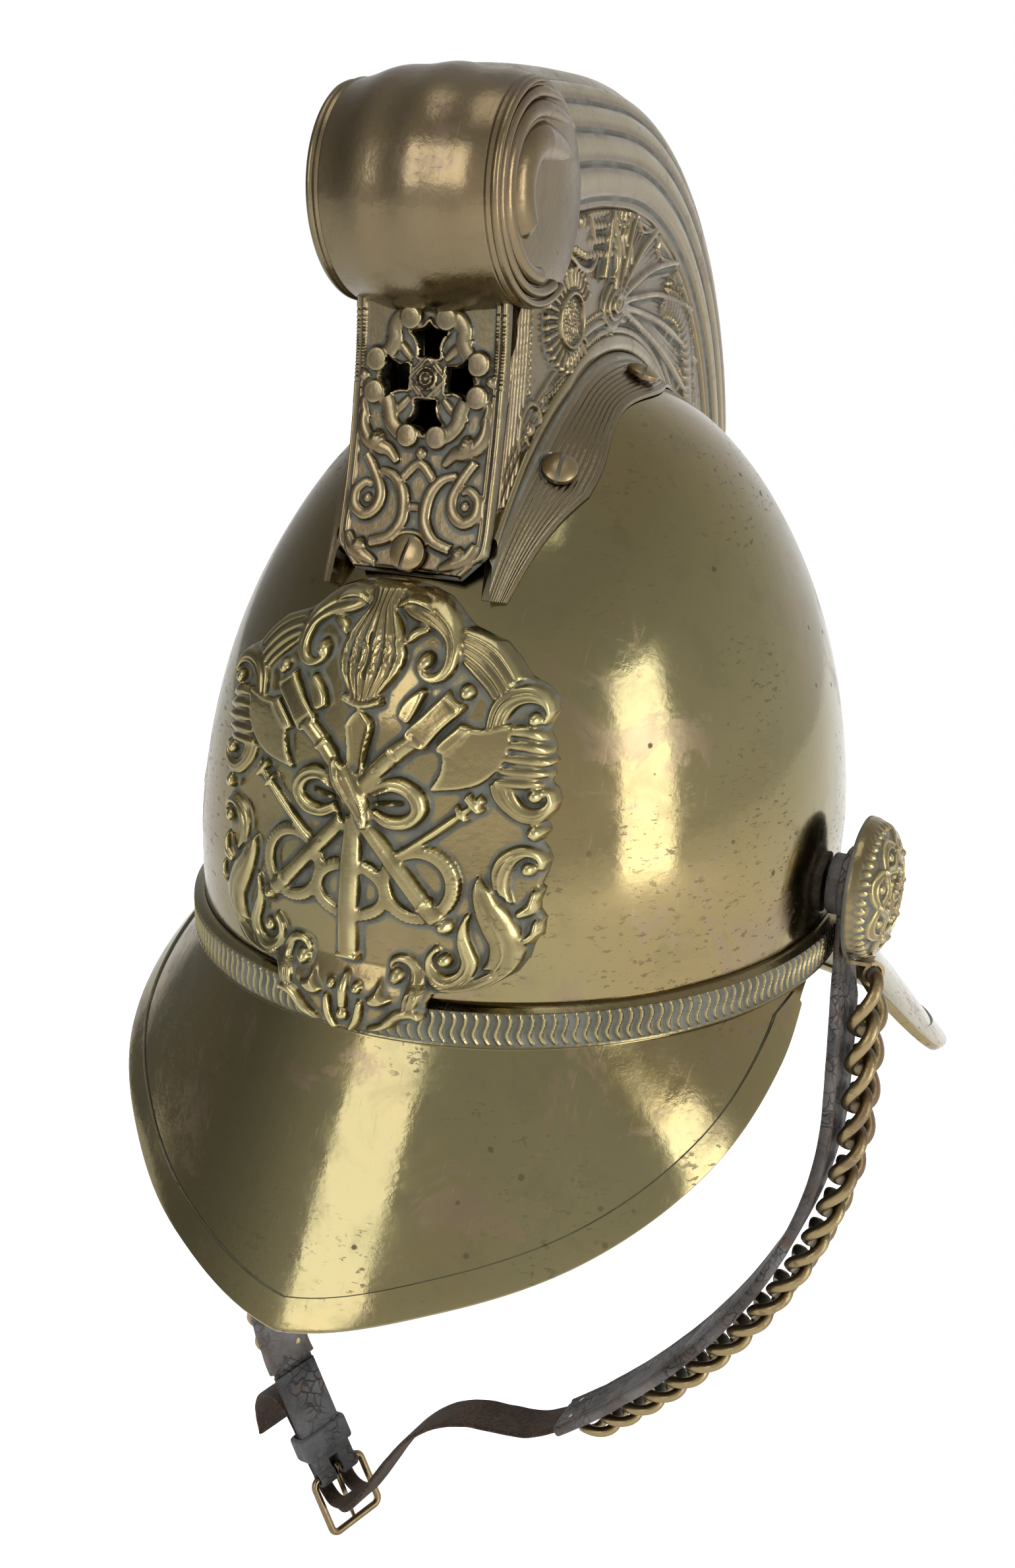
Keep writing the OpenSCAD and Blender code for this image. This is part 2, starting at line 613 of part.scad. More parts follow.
module rosette_left() {
    color(brass) rosette();
}
module rosette_right() {
    color(brass) mirror([1, 0, 0]) rosette();
}
module rosette_studs() {
    color(brass) at_studs() translate([0, 0, -8]) cylinder(d = stud_d, h = 8 + rosette_x - skull_half_w + rosette_h - 3);
}
module rosette_nuts() {
    color(brass) at_studs() translate([0, 0, -skull_wall - nut_gap - 3.6]) hex_nut(9, 3.3, stud_d + 0.1);
}
module leather_washers() {
    color(leather)
        at_studs() translate([0, 0, seat])
            difference() {
                cylinder(d = 17, h = washer_t);
                translate([0, 0, -1]) cylinder(d = stud_d + 2 * run, h = washer_t + 2);
            }
}

// Leather liner
liner_off = -skull_wall - liner_room;
liner_foot = 3;
module headband() {
    heights = [0, 0.5, 1];
    inner = [for (v = [1, 0]) [v, -liner_t]];
    sections = concat([for (v = heights) [v, 0]], inner);
    color(leather)
        loft([for (i = [0 : 47])
            let (t = 360 * i / 48)
            [for (s = [for (j = [len(sections) - 1 : -1 : 0]) sections[j]])
                skull_at(t, liner_foot + s[0] * liner_h, liner_off + s[1])]], wrap = true);
}
module liner_tongues() {
    steps = 6;
    root_z = liner_foot + liner_h - 8;
    top_z = crown_h - 24;
    off = liner_off - liner_t - seat;
    half_deg = 150 / tongue_count;
    color(leather)
        for (i = [0 : tongue_count - 1])
            let (t0 = 360 * (i + 0.5) / tongue_count)
            loft([for (j = [0 : steps])
                let (v = j / steps, z = mix(root_z, top_z, pow(v, 0.8)), h = half_deg * (1 - 0.12 * v - 0.2 * v * v))
                [skull_at(t0 - h, z, off), skull_at(t0, z, off), skull_at(t0 + h, z, off),
                    skull_at(t0 + h, z, off - liner_t), skull_at(t0, z, off - liner_t), skull_at(t0 - h, z, off - liner_t)]]);
}
module cork_spacers() {
    z = liner_foot + 14;
    thick = liner_room - 2 * seat - 0.6;
    color([0.62, 0.48, 0.33])
        for (i = [0 : 7])
            let (t = 360 * (i + 0.5) / 8, p = skull_at(t, z, -skull_wall), n = skull_normal(p))
            stand(p - n * (seat + 0.3 + thick), n) translate([-9, -7, 0]) cube([18, 14, thick]);
}

// The strap's middle line on each side. Each side hangs straight from its stud and curves in to the chin;
// the right side hangs steeper because it carries the buckle. Down to thin_len the leather is thinner.
thin_len = 26;
function bezier(p, u) =
    pow(1 - u, 3) * p[0] + 3 * u * pow(1 - u, 2) * p[1] + 3 * u * u * (1 - u) * p[2] + pow(u, 3) * p[3];
left_curve = [[strap_x + 1, -45], [strap_x + 1, -95], [60, -146], [19, -179]];
right_curve = [[-strap_x - 1, -45], [-strap_x - 5, -100], [-strap_x - 6, -160], [-86, -193]];
function skive_at(s) = let (f = min(max((s - thin_len) / 10, 0), 1)) skive * (1 - f * f * (3 - 2 * f));
function strap_xz(curve, u) =
    let (s = curve[0][0] > 0 ? 1 : -1)
    u < 0.3
        ? let (z = stud_z + (curve[0][1] - stud_z) * u / 0.3, f = u / 0.3)
            [s * (strap_x + f * f * (3 - 2 * f)), z]
        : bezier(curve, (u - 0.3) / 0.7);
function strap_point(curve, u) = let (p = strap_xz(curve, u)) [p[0], stud_y, p[1]];
function strap_tangent(curve, u) = unit(strap_point(curve, min(u + 0.004, 1)) - strap_point(curve, max(u - 0.004, 0)));
// Width direction: it turns about the strap towards the buckle on the right side
right_twist = 25;
function strap_width_dir(curve, u) =
    let (t = strap_tangent(curve, u), a = curve[0][0] > 0 ? 0 : right_twist * pow(max(0, u - 0.3) / 0.7, 1.5))
    cos(a) * [0, 1, 0] + sin(a) * cross(t, [0, 1, 0]);
function strap_out_dir(curve, u) =
    let (s = curve[0][0] > 0 ? 1 : -1) s * cross(strap_width_dir(curve, u), strap_tangent(curve, u)) * -1;
// Local axes at a place on the strap: X down the strap, Y across it, Z outwards
module on_strap(curve, u, high = 0) {
    s = curve[0][0] > 0 ? 1 : -1;
    o = strap_out_dir(curve, u);
    p = strap_point(curve, u) + high * o;
    x = strap_tangent(curve, u);
    w = strap_width_dir(curve, u) * s;
    multmatrix([[x.x, w.x, o.x, p.x], [x.y, w.y, o.y, p.y], [x.z, w.z, o.z, p.z], [0, 0, 0, 1]]) children();
}
// Lengths along the strap, so that pieces on it are set out in millimetres
table_n = 60;
function lengths(curve, i = 0, run_len = 0) =
    i > table_n ? []
        : concat([run_len], lengths(curve, i + 1,
            run_len + (i < table_n ? norm(strap_point(curve, (i + 1) / table_n) - strap_point(curve, i / table_n)) : 0)));
left_lengths = lengths(left_curve);
right_lengths = lengths(right_curve);
function u_at(table, s) = lookup(s, [for (i = [0 : table_n]) [table[i], i / table_n]]);

end_r = 11;
module backing(curve, table, w_end) {
    stations = 22;
    start = 6;
    total = table[table_n];
    c = 0.8;
    s = curve[0][0] > 0 ? 1 : -1;
    difference() {
        union() {
            loft([for (i = [0 : stations])
                let (len_at = mix(start, total, i / stations), u = u_at(table, len_at), p = strap_point(curve, u),
                    wd = strap_width_dir(curve, u) * s, od = strap_out_dir(curve, u),
                    w = mix(backing_w, w_end, i / stations) / 2 * min(1, 0.86 + len_at / 120), h = backing_t / 2 - 0.1,
                    top = h - skive_at(len_at))
                [for (q = [[-w, -h + c], [-w + c, -h], [w - c, -h], [w, -h + c], [w, top - c / 2], [w - c, top],
                    [-w + c, top], [-w, top - c / 2]])
                    p + q[0] * wd + q[1] * od]]);
            translate([s * (strap_x - skive / 2), stud_y, stud_z]) rotate([0, 90, 0])
                cylinder(r = end_r, h = backing_t - skive, center = true);
        }
        translate([s * strap_x, stud_y, stud_z]) rotate([0, 90, 0])
            cylinder(d = stud_d + 2 * run, h = backing_t + 4, center = true);
        on_strap(curve, 1) translate([-pocket - 0.4, -strap_w / 2 - 0.8, -strap_t / 2 - 0.2])
            cube([pocket + 3, strap_w + 1.6, strap_t + 0.4]);
        for (y = [-4.5, 4.5])
            on_strap(curve, 1) translate([-6, y, 0]) cylinder(d = rivet_d + 0.4, h = 12, center = true);
    }
}
module backing_left() {
    color(leather) backing(left_curve, left_lengths, 20);
}
module backing_right() {
    color(leather) backing(right_curve, right_lengths, 20);
}

// A link is a round wire bent to an oval and twisted, so that its ends stand across each other
link_half_len = 8;
link_half_w = 6.5;
link_twist = 45;
link_rings = 12;
wire_sides = 5;
function link_line(a) =
    [link_half_len * cos(a), link_half_w * sin(a) * cos(link_twist * cos(a)),
        link_half_w * sin(a) * sin(link_twist * cos(a))];
module link() {
    r = link_wire / 2;
    loft([for (k = [0 : link_rings - 1])
        let (a = 360 * k / link_rings, p = link_line(a), t = unit(link_line(a + 2) - link_line(a - 2)),
            v = unit(cross(t, [p.x, p.y, 0.001])), n = cross(v, t))
        [for (i = [0 : wire_sides - 1]) let (b = 360 * i / wire_sides) p + r * (n * cos(b) + v * sin(b))]], wrap = true);
}
// The first link hangs in a hook below the rosette's rim
chain_start = 33;
pitch_model = 11;
link_rise = 2.43;
function link_scale(i) = mix(pitch_top, pitch_low, i / 19) / pitch_model;
function link_place(i) =
    i == 0 ? chain_start : link_place(i - 1) + pitch_model * (link_scale(i - 1) + link_scale(i)) / 2;
function link_height(g) = backing_t / 2 + seat + g * (link_rise + link_wire / 2);
module chain(curve, table, room) {
    s = curve[0][0] > 0 ? 1 : -1;
    for (i = [0 : link_count - 1])
        if (link_place(i) < table[table_n] - room)
            on_strap(curve, u_at(table, link_place(i)), link_height(link_scale(i))) scale(link_scale(i)) link();
}
module chain_left() {
    color(brass) chain(left_curve, left_lengths, link_half_len);
}
module chain_right() {
    color(brass) chain(right_curve, right_lengths, link_half_len);
}

// Brass strips on the studs, under the rosettes. An eye at each one's foot holds the first link.
module hanger(curve, table) {
    s = curve[0][0] > 0 ? 1 : -1;
    g = link_scale(0);
    eye_in = g * link_wire / 2 + 1.5 * run;
    eye_out = eye_in + 1;
    wire_len = chain_start - g * link_half_len;
    shelf_low = hanger_x - strap_x - link_height(g);
    strip_foot = wire_len - eye_in - 0.3;
    translate([s > 0 ? hanger_x : -hanger_x - hanger_t, stud_y, stud_z])
        difference() {
            union() {
                rotate([0, 90, 0]) cylinder(d = stud_d + 7, h = hanger_t);
                translate([0, -3, -strip_foot]) cube([hanger_t, 6, strip_foot]);
            }
            translate([-1, 0, 0]) rotate([0, 90, 0]) cylinder(d = stud_d + 2 * run, h = hanger_t + 2);
        }
    on_strap(curve, u_at(table, chain_start), link_height(g))
        translate([-g * link_half_len, 0, 0])
            difference() {
                union() {
                    translate([-eye_out - 0.2, -3, shelf_low]) cube([1.1, 6, 0.4 - shelf_low]);
                    rotate([90 - link_twist, 0, 0]) cylinder(r = eye_out, h = 2.6, center = true);
                }
                rotate([90 - link_twist, 0, 0]) cylinder(r = eye_in, h = 12, center = true);
            }
}
module chain_hangers() {
    color(brass) {
        hanger(left_curve, left_lengths);
        hanger(right_curve, right_lengths);
    }
}

// The suede strap starts in the left backing's end, runs through the buckle from inside, turns back over
// the buckle's loop, passes through the keeper and ends in a curled tail
pocket = 13;
right_end = strap_point(right_curve, 1);
right_down = strap_tangent(right_curve, 1);
right_out = strap_out_dir(right_curve, 1);
function right_local(p) = right_end + p[0] * right_down + p[1] * right_out;
loop_len = 42;
frame_len = 20;
strap_over = 3.35 + seat + strap_t / 2;
left_end = strap_point(left_curve, 1);
left_down = strap_tangent(left_curve, 1);
sag_points = [[8, -185.5], [-3, -187.5], [-14, -189], [-25, -194], [-35, -203], [-43, -215]];
buckle_points = [[50, -14], [52, -6], [52, 0.5], [48.5, 3.9], [43, strap_over], [38, strap_over], [32, strap_over],
    [26, strap_over], [21.5, strap_over], [16.5, 6.4], [12.5, 10.5], [11.5, 17], [14, 25], [21, 32.5], [31, 38]];
strap_route = concat([left_end - pocket * left_down, left_end - 5 * left_down, left_end + 2 * left_down],
    [for (p = sag_points) [p[0], stud_y, p[1]]], [for (p = buckle_points) right_local(p)]);
function route_at(u) = smooth(strap_route, u);
strap_stations = 2 * (len(strap_route) - 1);
module suede_strap() {
    last = strap_width_dir(right_curve, 1);
    stations = [for (i = [0 : strap_stations])
        let (u = i / strap_stations, p = route_at(u), t = unit(route_at(min(u + 0.002, 1)) - route_at(max(u - 0.002, 0))),
            side = unit(mix([0, 1, 0], last, min(1, 1.6 * u))), out = unit(cross(side, t)), w = cross(t, out) * strap_w / 2,
            h = out * strap_t / 2)
        [p - w - h, p - w + h, p + w + h, p + w - h]];
    color(suede)
        difference() {
            loft(stations);
            at_left_rivets() cylinder(d = rivet_d + 0.4, h = 10, center = true);
            on_strap(right_curve, 1) translate([loop_len + 2.2, -2.2, -2]) cube([11.8, 4.4, 9]);
        }
}
rivet_d = 2;
module at_left_rivets() {
    for (y = [-4.5, 4.5])
        on_strap(left_curve, 1) translate([-6, y, 0]) children();
}
module at_right_rivets() {
    for (y = [-4.5, 4.5])
        on_strap(right_curve, 1) translate([-6, y, 0]) children();
}
module strap_rivets() {
    color(brass) {
        at_left_rivets() cylinder(d = rivet_d, h = backing_t - 0.2, center = true);
        at_right_rivets() cylinder(d = rivet_d, h = backing_t - 0.2, center = true);
    }
}

// Buckle: a folded leather loop, a wire frame, a prong and a keeper
bar_d = 2.6;
side_y = strap_w / 2 + 1.4 + bar_d / 2;
prong_d = 2;
module buckle_loop() {
    w = strap_w + 1;
    eye_r = bar_d / 2 + 0.25;
    color(leather)
        on_strap(right_curve, 1)
            difference() {
                translate([0, w / 2, 0]) rotate([90, 0, 0])
                    linear_extrude(w)
                        difference() {
                            union() {
                                translate([-pocket, -strap_t / 2]) square([pocket + 4, strap_t]);
                                translate([2, -strap_t]) square([loop_len - 2, 2 * strap_t]);
                                translate([loop_len, 0]) circle(r = eye_r + strap_t);
                            }
                            translate([loop_len, 0]) circle(r = eye_r);
                        }
                translate([loop_len - 5.5, -prong_d / 2 - 0.9, -6]) cube([12, prong_d + 1.8, 12]);
                for (y = [-4.5, 4.5])
                    translate([-6, y, 0]) cylinder(d = rivet_d + 0.4, h = 10, center = true);
            }
}
module buckle_frame() {
    bend = 2.4;
    bend_over = 5;
    color(brass)
        on_strap(right_curve, 1) {
            for (x = [0, frame_len])
                translate([loop_len + x, 0, 0]) rotate([90, 0, 0]) cylinder(d = bar_d, h = 2 * (side_y - bend), center = true);
            for (y = [-side_y, side_y])
                translate([loop_len + bend, y, 0]) rotate([0, 90, 0]) cylinder(d = bar_d, h = frame_len - 2 * bend);
            // Each bend is a hair thinner and runs on into both bars
            for (q = [[bend, bend - side_y, 180], [frame_len - bend, bend - side_y, 270], [frame_len - bend, side_y - bend, 0],
                [bend, side_y - bend, 90]])
                translate([loop_len + q[0], q[1], 0]) rotate(q[2] - bend_over)
                    rotate_extrude(angle = 90 + 2 * bend_over) translate([bend, 0]) circle(d = bar_d - 0.04);
        }
}
module buckle_prong() {
    tip_z = bar_d / 2 + prong_d / 2 + 0.2;
    reach = frame_len + 1;
    color(brass)
        on_strap(right_curve, 1) translate([loop_len, 0, 0]) {
            rotate([90, 0, 0])
                difference() {
                    cylinder(r = bar_d / 2 + 0.25 + 1.2, h = prong_d, center = true);
                    cylinder(r = bar_d / 2 + 0.25, h = prong_d + 2, center = true);
                }
            translate([bar_d / 2 + 0.25 + 0.5, 0, 0.6]) rotate([0, 90 - atan2(tip_z - 0.6, reach - 2.2), 0])
                cylinder(d = prong_d, h = norm([tip_z - 0.6, reach - 2.2]));
        }
}
keeper_at = 30;
keeper_len = 9;
module keeper() {
    t = 1.4;
    low = -strap_t - 0.4;
    high = strap_over + strap_t / 2 + 0.4;
    half = (strap_w + 1) / 2 + 0.4;
    color(leather)
        on_strap(right_curve, 1) translate([keeper_at - keeper_len / 2, 0, 0]) rotate([90, 0, 90])
            linear_extrude(keeper_len)
                difference() {
                    union() {
                        translate([-half, low - t]) square([2 * half, high - low + 2 * t]);
                        translate([-half - t, low]) square([2 * (half + t), high - low]);
                        for (x = [-half, half])
                            for (y = [low, high])
                                translate([x, y]) circle(r = t);
                    }
                    translate([-half, low]) square([2 * half, high - low]);
                }
}

skull();
base_band();
front_peak();
peak_binding();
neck_guard();
guard_binding();
badge();
badge_studs();
badge_nuts();
comb_left();
comb_right();
comb_front_plate();
comb_roll();
comb_screws();
comb_nuts();
front_screw();
rosette_left();
rosette_right();
rosette_studs();
rosette_nuts();
leather_washers();
headband();
liner_tongues();
cork_spacers();
backing_left();
backing_right();
chain_left();
chain_right();
chain_hangers();
suede_strap();
strap_rivets();
buckle_loop();
buckle_frame();
buckle_prong();
keeper();
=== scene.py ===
# %% [markdown]
# # A brass firefighter's helmet
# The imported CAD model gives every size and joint. This lesson dresses it: pressed and cast brass with its
# tarnish, a chain on cracked leather, a suede chin strap. Everything is worked out in millimetres with numpy
# and put into Blender's meshes in metres. The front faces -Y, up is +Z.

# %% Load the frame
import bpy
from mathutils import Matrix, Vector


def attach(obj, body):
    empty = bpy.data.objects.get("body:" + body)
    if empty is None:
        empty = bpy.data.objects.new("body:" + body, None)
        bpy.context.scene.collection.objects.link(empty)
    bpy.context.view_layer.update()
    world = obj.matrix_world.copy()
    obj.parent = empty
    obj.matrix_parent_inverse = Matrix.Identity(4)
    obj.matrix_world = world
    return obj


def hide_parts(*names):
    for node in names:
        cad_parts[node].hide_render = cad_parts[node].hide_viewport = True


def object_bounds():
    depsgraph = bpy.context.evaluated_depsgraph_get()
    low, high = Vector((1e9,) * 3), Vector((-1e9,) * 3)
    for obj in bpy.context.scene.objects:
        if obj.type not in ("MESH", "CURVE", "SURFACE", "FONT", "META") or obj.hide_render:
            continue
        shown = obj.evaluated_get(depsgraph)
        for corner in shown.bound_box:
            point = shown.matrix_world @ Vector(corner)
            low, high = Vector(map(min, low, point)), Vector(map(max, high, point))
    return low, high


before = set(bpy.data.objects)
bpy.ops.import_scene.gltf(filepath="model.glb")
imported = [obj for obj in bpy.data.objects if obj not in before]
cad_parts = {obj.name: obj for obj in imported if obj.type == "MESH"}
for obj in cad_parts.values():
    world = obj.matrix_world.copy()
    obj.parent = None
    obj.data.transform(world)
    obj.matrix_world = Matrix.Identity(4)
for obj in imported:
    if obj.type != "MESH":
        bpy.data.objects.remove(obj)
cad_box = [list(map(float, corner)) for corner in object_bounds()]

import math

import bpy
import numpy as np
from mathutils import Matrix

MM = 0.001

# %% [markdown]
# ## Camera
# The photograph was taken from the helmet's left front and a little above. Its picture is 1540 by 2380 pixels,
# and the lens, in pixels of that picture, turns into millimetres on a 36 mm sensor laid along the tall side.

# %% Camera
PICTURE = (1540, 2380)
VIEW_AZIMUTH, VIEW_ELEVATION, VIEW_ROLL = (math.radians(a) for a in (24.635, 17.35, 1.718))
VIEW_DISTANCE, LENS_PX = 507.352, 2593.232
VIEW_TARGET = (-5.781, 34.385)


def view_axes():
    """Right, up and backward directions of the camera: azimuth, then elevation, then roll about the view."""
    ca, sa = math.cos(VIEW_AZIMUTH), math.sin(VIEW_AZIMUTH)
    ce, se = math.cos(VIEW_ELEVATION), math.sin(VIEW_ELEVATION)
    back = np.array([sa * ce, -ca * ce, se])
    right = np.array([ca, sa, 0])
    up = np.cross(back, right)
    cr, sr = math.cos(VIEW_ROLL), math.sin(VIEW_ROLL)
    return right * cr + up * sr, -right * sr + up * cr, back, right * VIEW_TARGET[0] + up * VIEW_TARGET[1]


right_axis, up_axis, back_axis, target = view_axes()
camera_data = bpy.data.cameras.new("camera")
camera_data.sensor_width = 36
camera_data.lens = LENS_PX * 36 / PICTURE[1]
camera = bpy.data.objects.new("camera", camera_data)
place = Matrix(np.stack([right_axis, up_axis, back_axis], 1).tolist()).to_4x4()
place.translation = (target + back_axis * VIEW_DISTANCE) * MM
camera.matrix_world = place
bpy.context.scene.collection.objects.link(camera)
bpy.context.scene.camera = camera
bpy.context.scene.view_settings.view_transform = "Standard"
print("camera at", [round(c, 3) for c in place.translation], "lens", round(camera_data.lens, 1))

# %% [markdown]
# ## Shapes as arrays
# A piece is a grid of points, rows by columns. The helpers below turn grids into closed skins. Coincident
# points are welded, so poles and seams close, and a skin whose volume comes out negative is turned round, so
# its faces point outwards. Each vertex also keeps a number called cavity: 0.5 on a plain place, towards 1 in a
# recess where polish never reaches and the brass gets crust and painted shade, and towards 0 on a crest that is
# rubbed bright.

# %% Grids and skins


def unit(v):
    """Vectors of length one, along the last axis."""
    return v / np.maximum(np.linalg.norm(v, axis=-1, keepdims=True), 1e-9)


def smooth(values, u):
    """Curve through evenly spaced values (Catmull-Rom cubic), u from 0 to 1; the values may be points."""
    v = np.asarray(values, float)
    n = len(v) - 1
    s = np.clip(np.asarray(u, float), 0, 1) * n
    i = np.minimum(np.floor(s).astype(int), n - 1)
    f = s - i
    f = f[..., None] if v.ndim > 1 else f
    a, b, c, d = v[np.maximum(i - 1, 0)], v[i], v[i + 1], v[np.minimum(i + 2, n)]
    return b + (c - a) * f / 2 + (a - 2.5 * b + 2 * c - d / 2) * f**2 + (1.5 * b - a / 2 - 1.5 * c + d / 2) * f**3


def ramp(x, low, high):
    """Smooth step from 0 at low to 1 at high."""
    t = np.clip((np.asarray(x, float) - low) / (high - low), 0, 1)
    return t * t * (3 - 2 * t)


def bell(x, at, width):
    """Bell curve, 1 at its middle: e to minus the square of the distance in widths."""
    return np.exp(-((x - at) / width) ** 2)


def edge_round(v):
    """Rounded edge: the square root of the way in from it, kept between 0 and 1."""
    return np.sqrt(np.clip(v, 0, 1))


def squared(v, power):
    """A sine or cosine to a small power with its sign kept, which squares a circle off."""
    return np.sign(v) * np.abs(v) ** power


def full_turn(n):
    """n angles evenly round a circle, in radians."""
    return np.linspace(0, 2 * np.pi, n, endpoint=False)


def closed_turn(n):
    """n angles round a circle, in radians; the last is the first again."""
    return np.linspace(0, 2 * np.pi, n)


def eased(n):
    """n places from -1 to 1 that crowd together at both ends: the sine of evenly spaced angles."""
    return np.sin(np.linspace(-np.pi / 2, np.pi / 2, n))


def ellipse(x, y, rx, ry, a):
    """Points (x, y) of an ellipse at the angles a."""
    return np.stack([x + rx * np.cos(a), y + ry * np.sin(a)], -1)


def xyz(*coordinates):
    """Points from their coordinates, each spread over the common grid."""
    return np.stack(np.broadcast_arrays(*coordinates), -1).astype(float)


def numbers(grid):
    """Vertex numbers of a grid of points, row by row."""
    return np.arange(grid.shape[0] * grid.shape[1]).reshape(grid.shape[:2])


def grid_quads(index, wrap_rows=False, wrap_columns=False):
    """Four corners of every cell of a grid of vertex numbers."""
    if wrap_rows:
        index = np.vstack([index, index[:1]])
    if wrap_columns:
        index = np.hstack([index, index[:, :1]])
    return np.stack([index[:-1, :-1], index[:-1, 1:], index[1:, 1:], index[1:, :-1]], -1).reshape(-1, 4)


class Skin:
    """Points, cells, cavity and UV of one closed surface; skins add up to a piece."""

    def __init__(self, points, quads, cavity=None, uv=None):
        self.points = np.asarray(points, float).reshape(-1, 3)
        n = len(self.points)
        self.quads = quads
        self.cavity = np.full(n, 0.5) if cavity is None else np.asarray(cavity, float).reshape(-1)
        self.uv = np.zeros((n, 2)) if uv is None else np.asarray(uv, float).reshape(-1, 2)

    def __add__(self, other):
        """Both skins as one."""
        quads = np.vstack([self.quads, other.quads + len(self.points)])
        return Skin(np.vstack([self.points, other.points]), quads,
            np.append(self.cavity, other.cavity), np.vstack([self.uv, other.uv]))

    def outward(self):
        """Turns the skin round if its signed volume is negative."""
        p = self.points[self.quads]
        volume = np.einsum("ij,ij->i", p[:, 0], np.cross(p[:, 1], p[:, 2]) + np.cross(p[:, 2], p[:, 3])).sum()
        if volume < 0:
            self.quads = self.quads[:, ::-1]
        return self


def uv_grid(shape, size=(1, 1)):
    """UV that runs along columns and rows, in the given size."""
    rows, columns = shape
    v, u = np.meshgrid(np.linspace(0, size[1], rows), np.linspace(0, size[0], columns), indexing="ij")
    return np.stack([u, v], -1)


def shell(outer, inner, ring=False, cavity=None, size=(1, 1)):
    """Closed wall between two grids with the same columns: down the outer rows, back up the inner ones. A ring
    also closes across its columns, and otherwise the rows match and both side edges are zipped."""
    m = len(outer)
    points = np.concatenate([outer, inner[::-1]])
    index = numbers(points)
    quads = [grid_quads(index, True, ring)]
    if not ring:
        a, b = index[:m, 0], index[::-1][:m, 0]
        quads.append(np.stack([a[:-1], a[1:], b[1:], b[:-1]], -1))
        a, b = index[:m, -1], index[::-1][:m, -1]
        quads.append(np.stack([a[1:], a[:-1], b[:-1], b[1:]], -1))
    cavity = np.full(outer.shape[:2], 0.5) if cavity is None else cavity
    uv = np.concatenate([uv_grid(outer.shape[:2], size), uv_grid(inner.shape[:2], size)[::-1]])
    return Skin(points, np.vstack(quads), np.concatenate([cavity, np.full(inner.shape[:2], 0.62)]), uv).outward()


def lidded(front, back_ring, cavity, rings=(1, 0.75, 0.5, 0.25, 0)):
    """Front grid closed behind by rings: the grid's border, drawn in by each factor through back_ring(border, s)."""
    index = numbers(front)
    loop = np.concatenate([index[0, :-1], index[:-1, -1], index[-1, :0:-1], index[:0:-1, 0]])[::-1]
    border = front.reshape(-1, 3)[loop]
    back = np.stack([back_ring(border, s) for s in rings])
    rows = np.vstack([loop, index.size + numbers(back)])
    quads = np.vstack([grid_quads(index), grid_quads(rows, wrap_columns=True)])
    points = np.vstack([front.reshape(-1, 3), back.reshape(-1, 3)])
    behind = back[..., 0].size
    cavities = np.append(cavity.reshape(-1), np.full(behind, 0.6))
    uv = np.vstack([uv_grid(front.shape[:2]).reshape(-1, 2), np.zeros((behind, 2))])
    return Skin(points, quads, cavities, uv).outward()


def tube(path, radius, side, sides=12, closed=False, section=None, cavity=None):
    """Skin carried along a path: at each point a ring of the radius (a number or one per point) in the plane of
    side and the direction square to it. section(angle) may give two factors for a ring that isn't round."""
    path = np.asarray(path, float)
    along = np.roll(path, -1, 0) - np.roll(path, 1, 0)
    if not closed:
        along[0], along[-1] = path[1] - path[0], path[-1] - path[-2]
    along = unit(along)
    side = np.broadcast_to(np.asarray(side, float), path.shape)
    side = unit(side - (side * along).sum(-1, keepdims=True) * along)
    over = np.cross(along, side)
    angle = full_turn(sides)
    fx, fy = (np.cos(angle), np.sin(angle)) if section is None else section(angle)
    r = np.broadcast_to(np.asarray(radius, float), len(path))[:, None, None]
    points = path[:, None] + r * (fx[:, None] * side[:, None] + fy[:, None] * over[:, None])
    if not closed:
        points = np.concatenate([np.repeat(path[:1, None], sides, 1), points, np.repeat(path[-1:, None], sides, 1)])
    values = None if cavity is None else np.broadcast_to(cavity, points.shape[:2])
    length = np.linalg.norm(np.diff(path, axis=0), axis=1).sum()
    uv = uv_grid(points.shape[:2], (1, length / 10))
    return Skin(points, grid_quads(numbers(points), closed, True), values, uv).outward()


def loft(sections, cavity=None, start=None):
    """Skin through closed sections: rows run round each section, columns along the piece; each end is drawn in
    to its own middle, or the first one to the point start."""
    ends = [np.repeat(sections[:, [k]].mean(0, keepdims=True), len(sections), 0) for k in (0, -1)]
    if start is not None:
        ends[0] = ends[0] * 0 + start
    points = np.concatenate([ends[0], sections, ends[1]], 1)
    if cavity is not None:
        cavity = np.concatenate([cavity[:, :1], np.broadcast_to(cavity, sections.shape[:2]), cavity[:, -1:]], 1)
    return Skin(points, grid_quads(numbers(points), wrap_rows=True), cavity, uv_grid(points.shape[:2])).outward()


def pierced(front, back, keep, cavity=None):
    """Sheet with openings: cells whose keep is false are left out of both faces, and a wall joins the two faces
    along every edge that is left open, the outer one included."""
    index = numbers(front)
    cells, n = grid_quads(index)[keep.ravel()], index.size
    edges = np.concatenate([cells[:, [i, (i + 1) % 4]] for i in range(4)])
    edges = edges[~np.isin(edges[:, 0] * n + edges[:, 1], edges[:, 1] * n + edges[:, 0])]
    walls = np.stack([edges[:, 1], edges[:, 0], edges[:, 0] + n, edges[:, 1] + n], -1)
    quads = np.vstack([cells, cells[:, ::-1] + n, walls])
    used, quads = np.unique(quads, return_inverse=True)
    points = np.vstack([front.reshape(-1, 3), back.reshape(-1, 3)])[used]
    values = None if cavity is None else np.append(cavity.ravel(), cavity.ravel())[used]
    uv = np.tile(uv_grid(front.shape[:2]).reshape(-1, 2), (2, 1))[used]
    return Skin(points, quads.reshape(-1, 4), values, uv).outward()


def wrapped(points, cavity=None):
    """Skin from a grid that closes across its columns and narrows to a point, or closes on itself, along them."""
    return Skin(points, grid_quads(numbers(points), False, True), cavity, uv_grid(points.shape[:2])).outward()


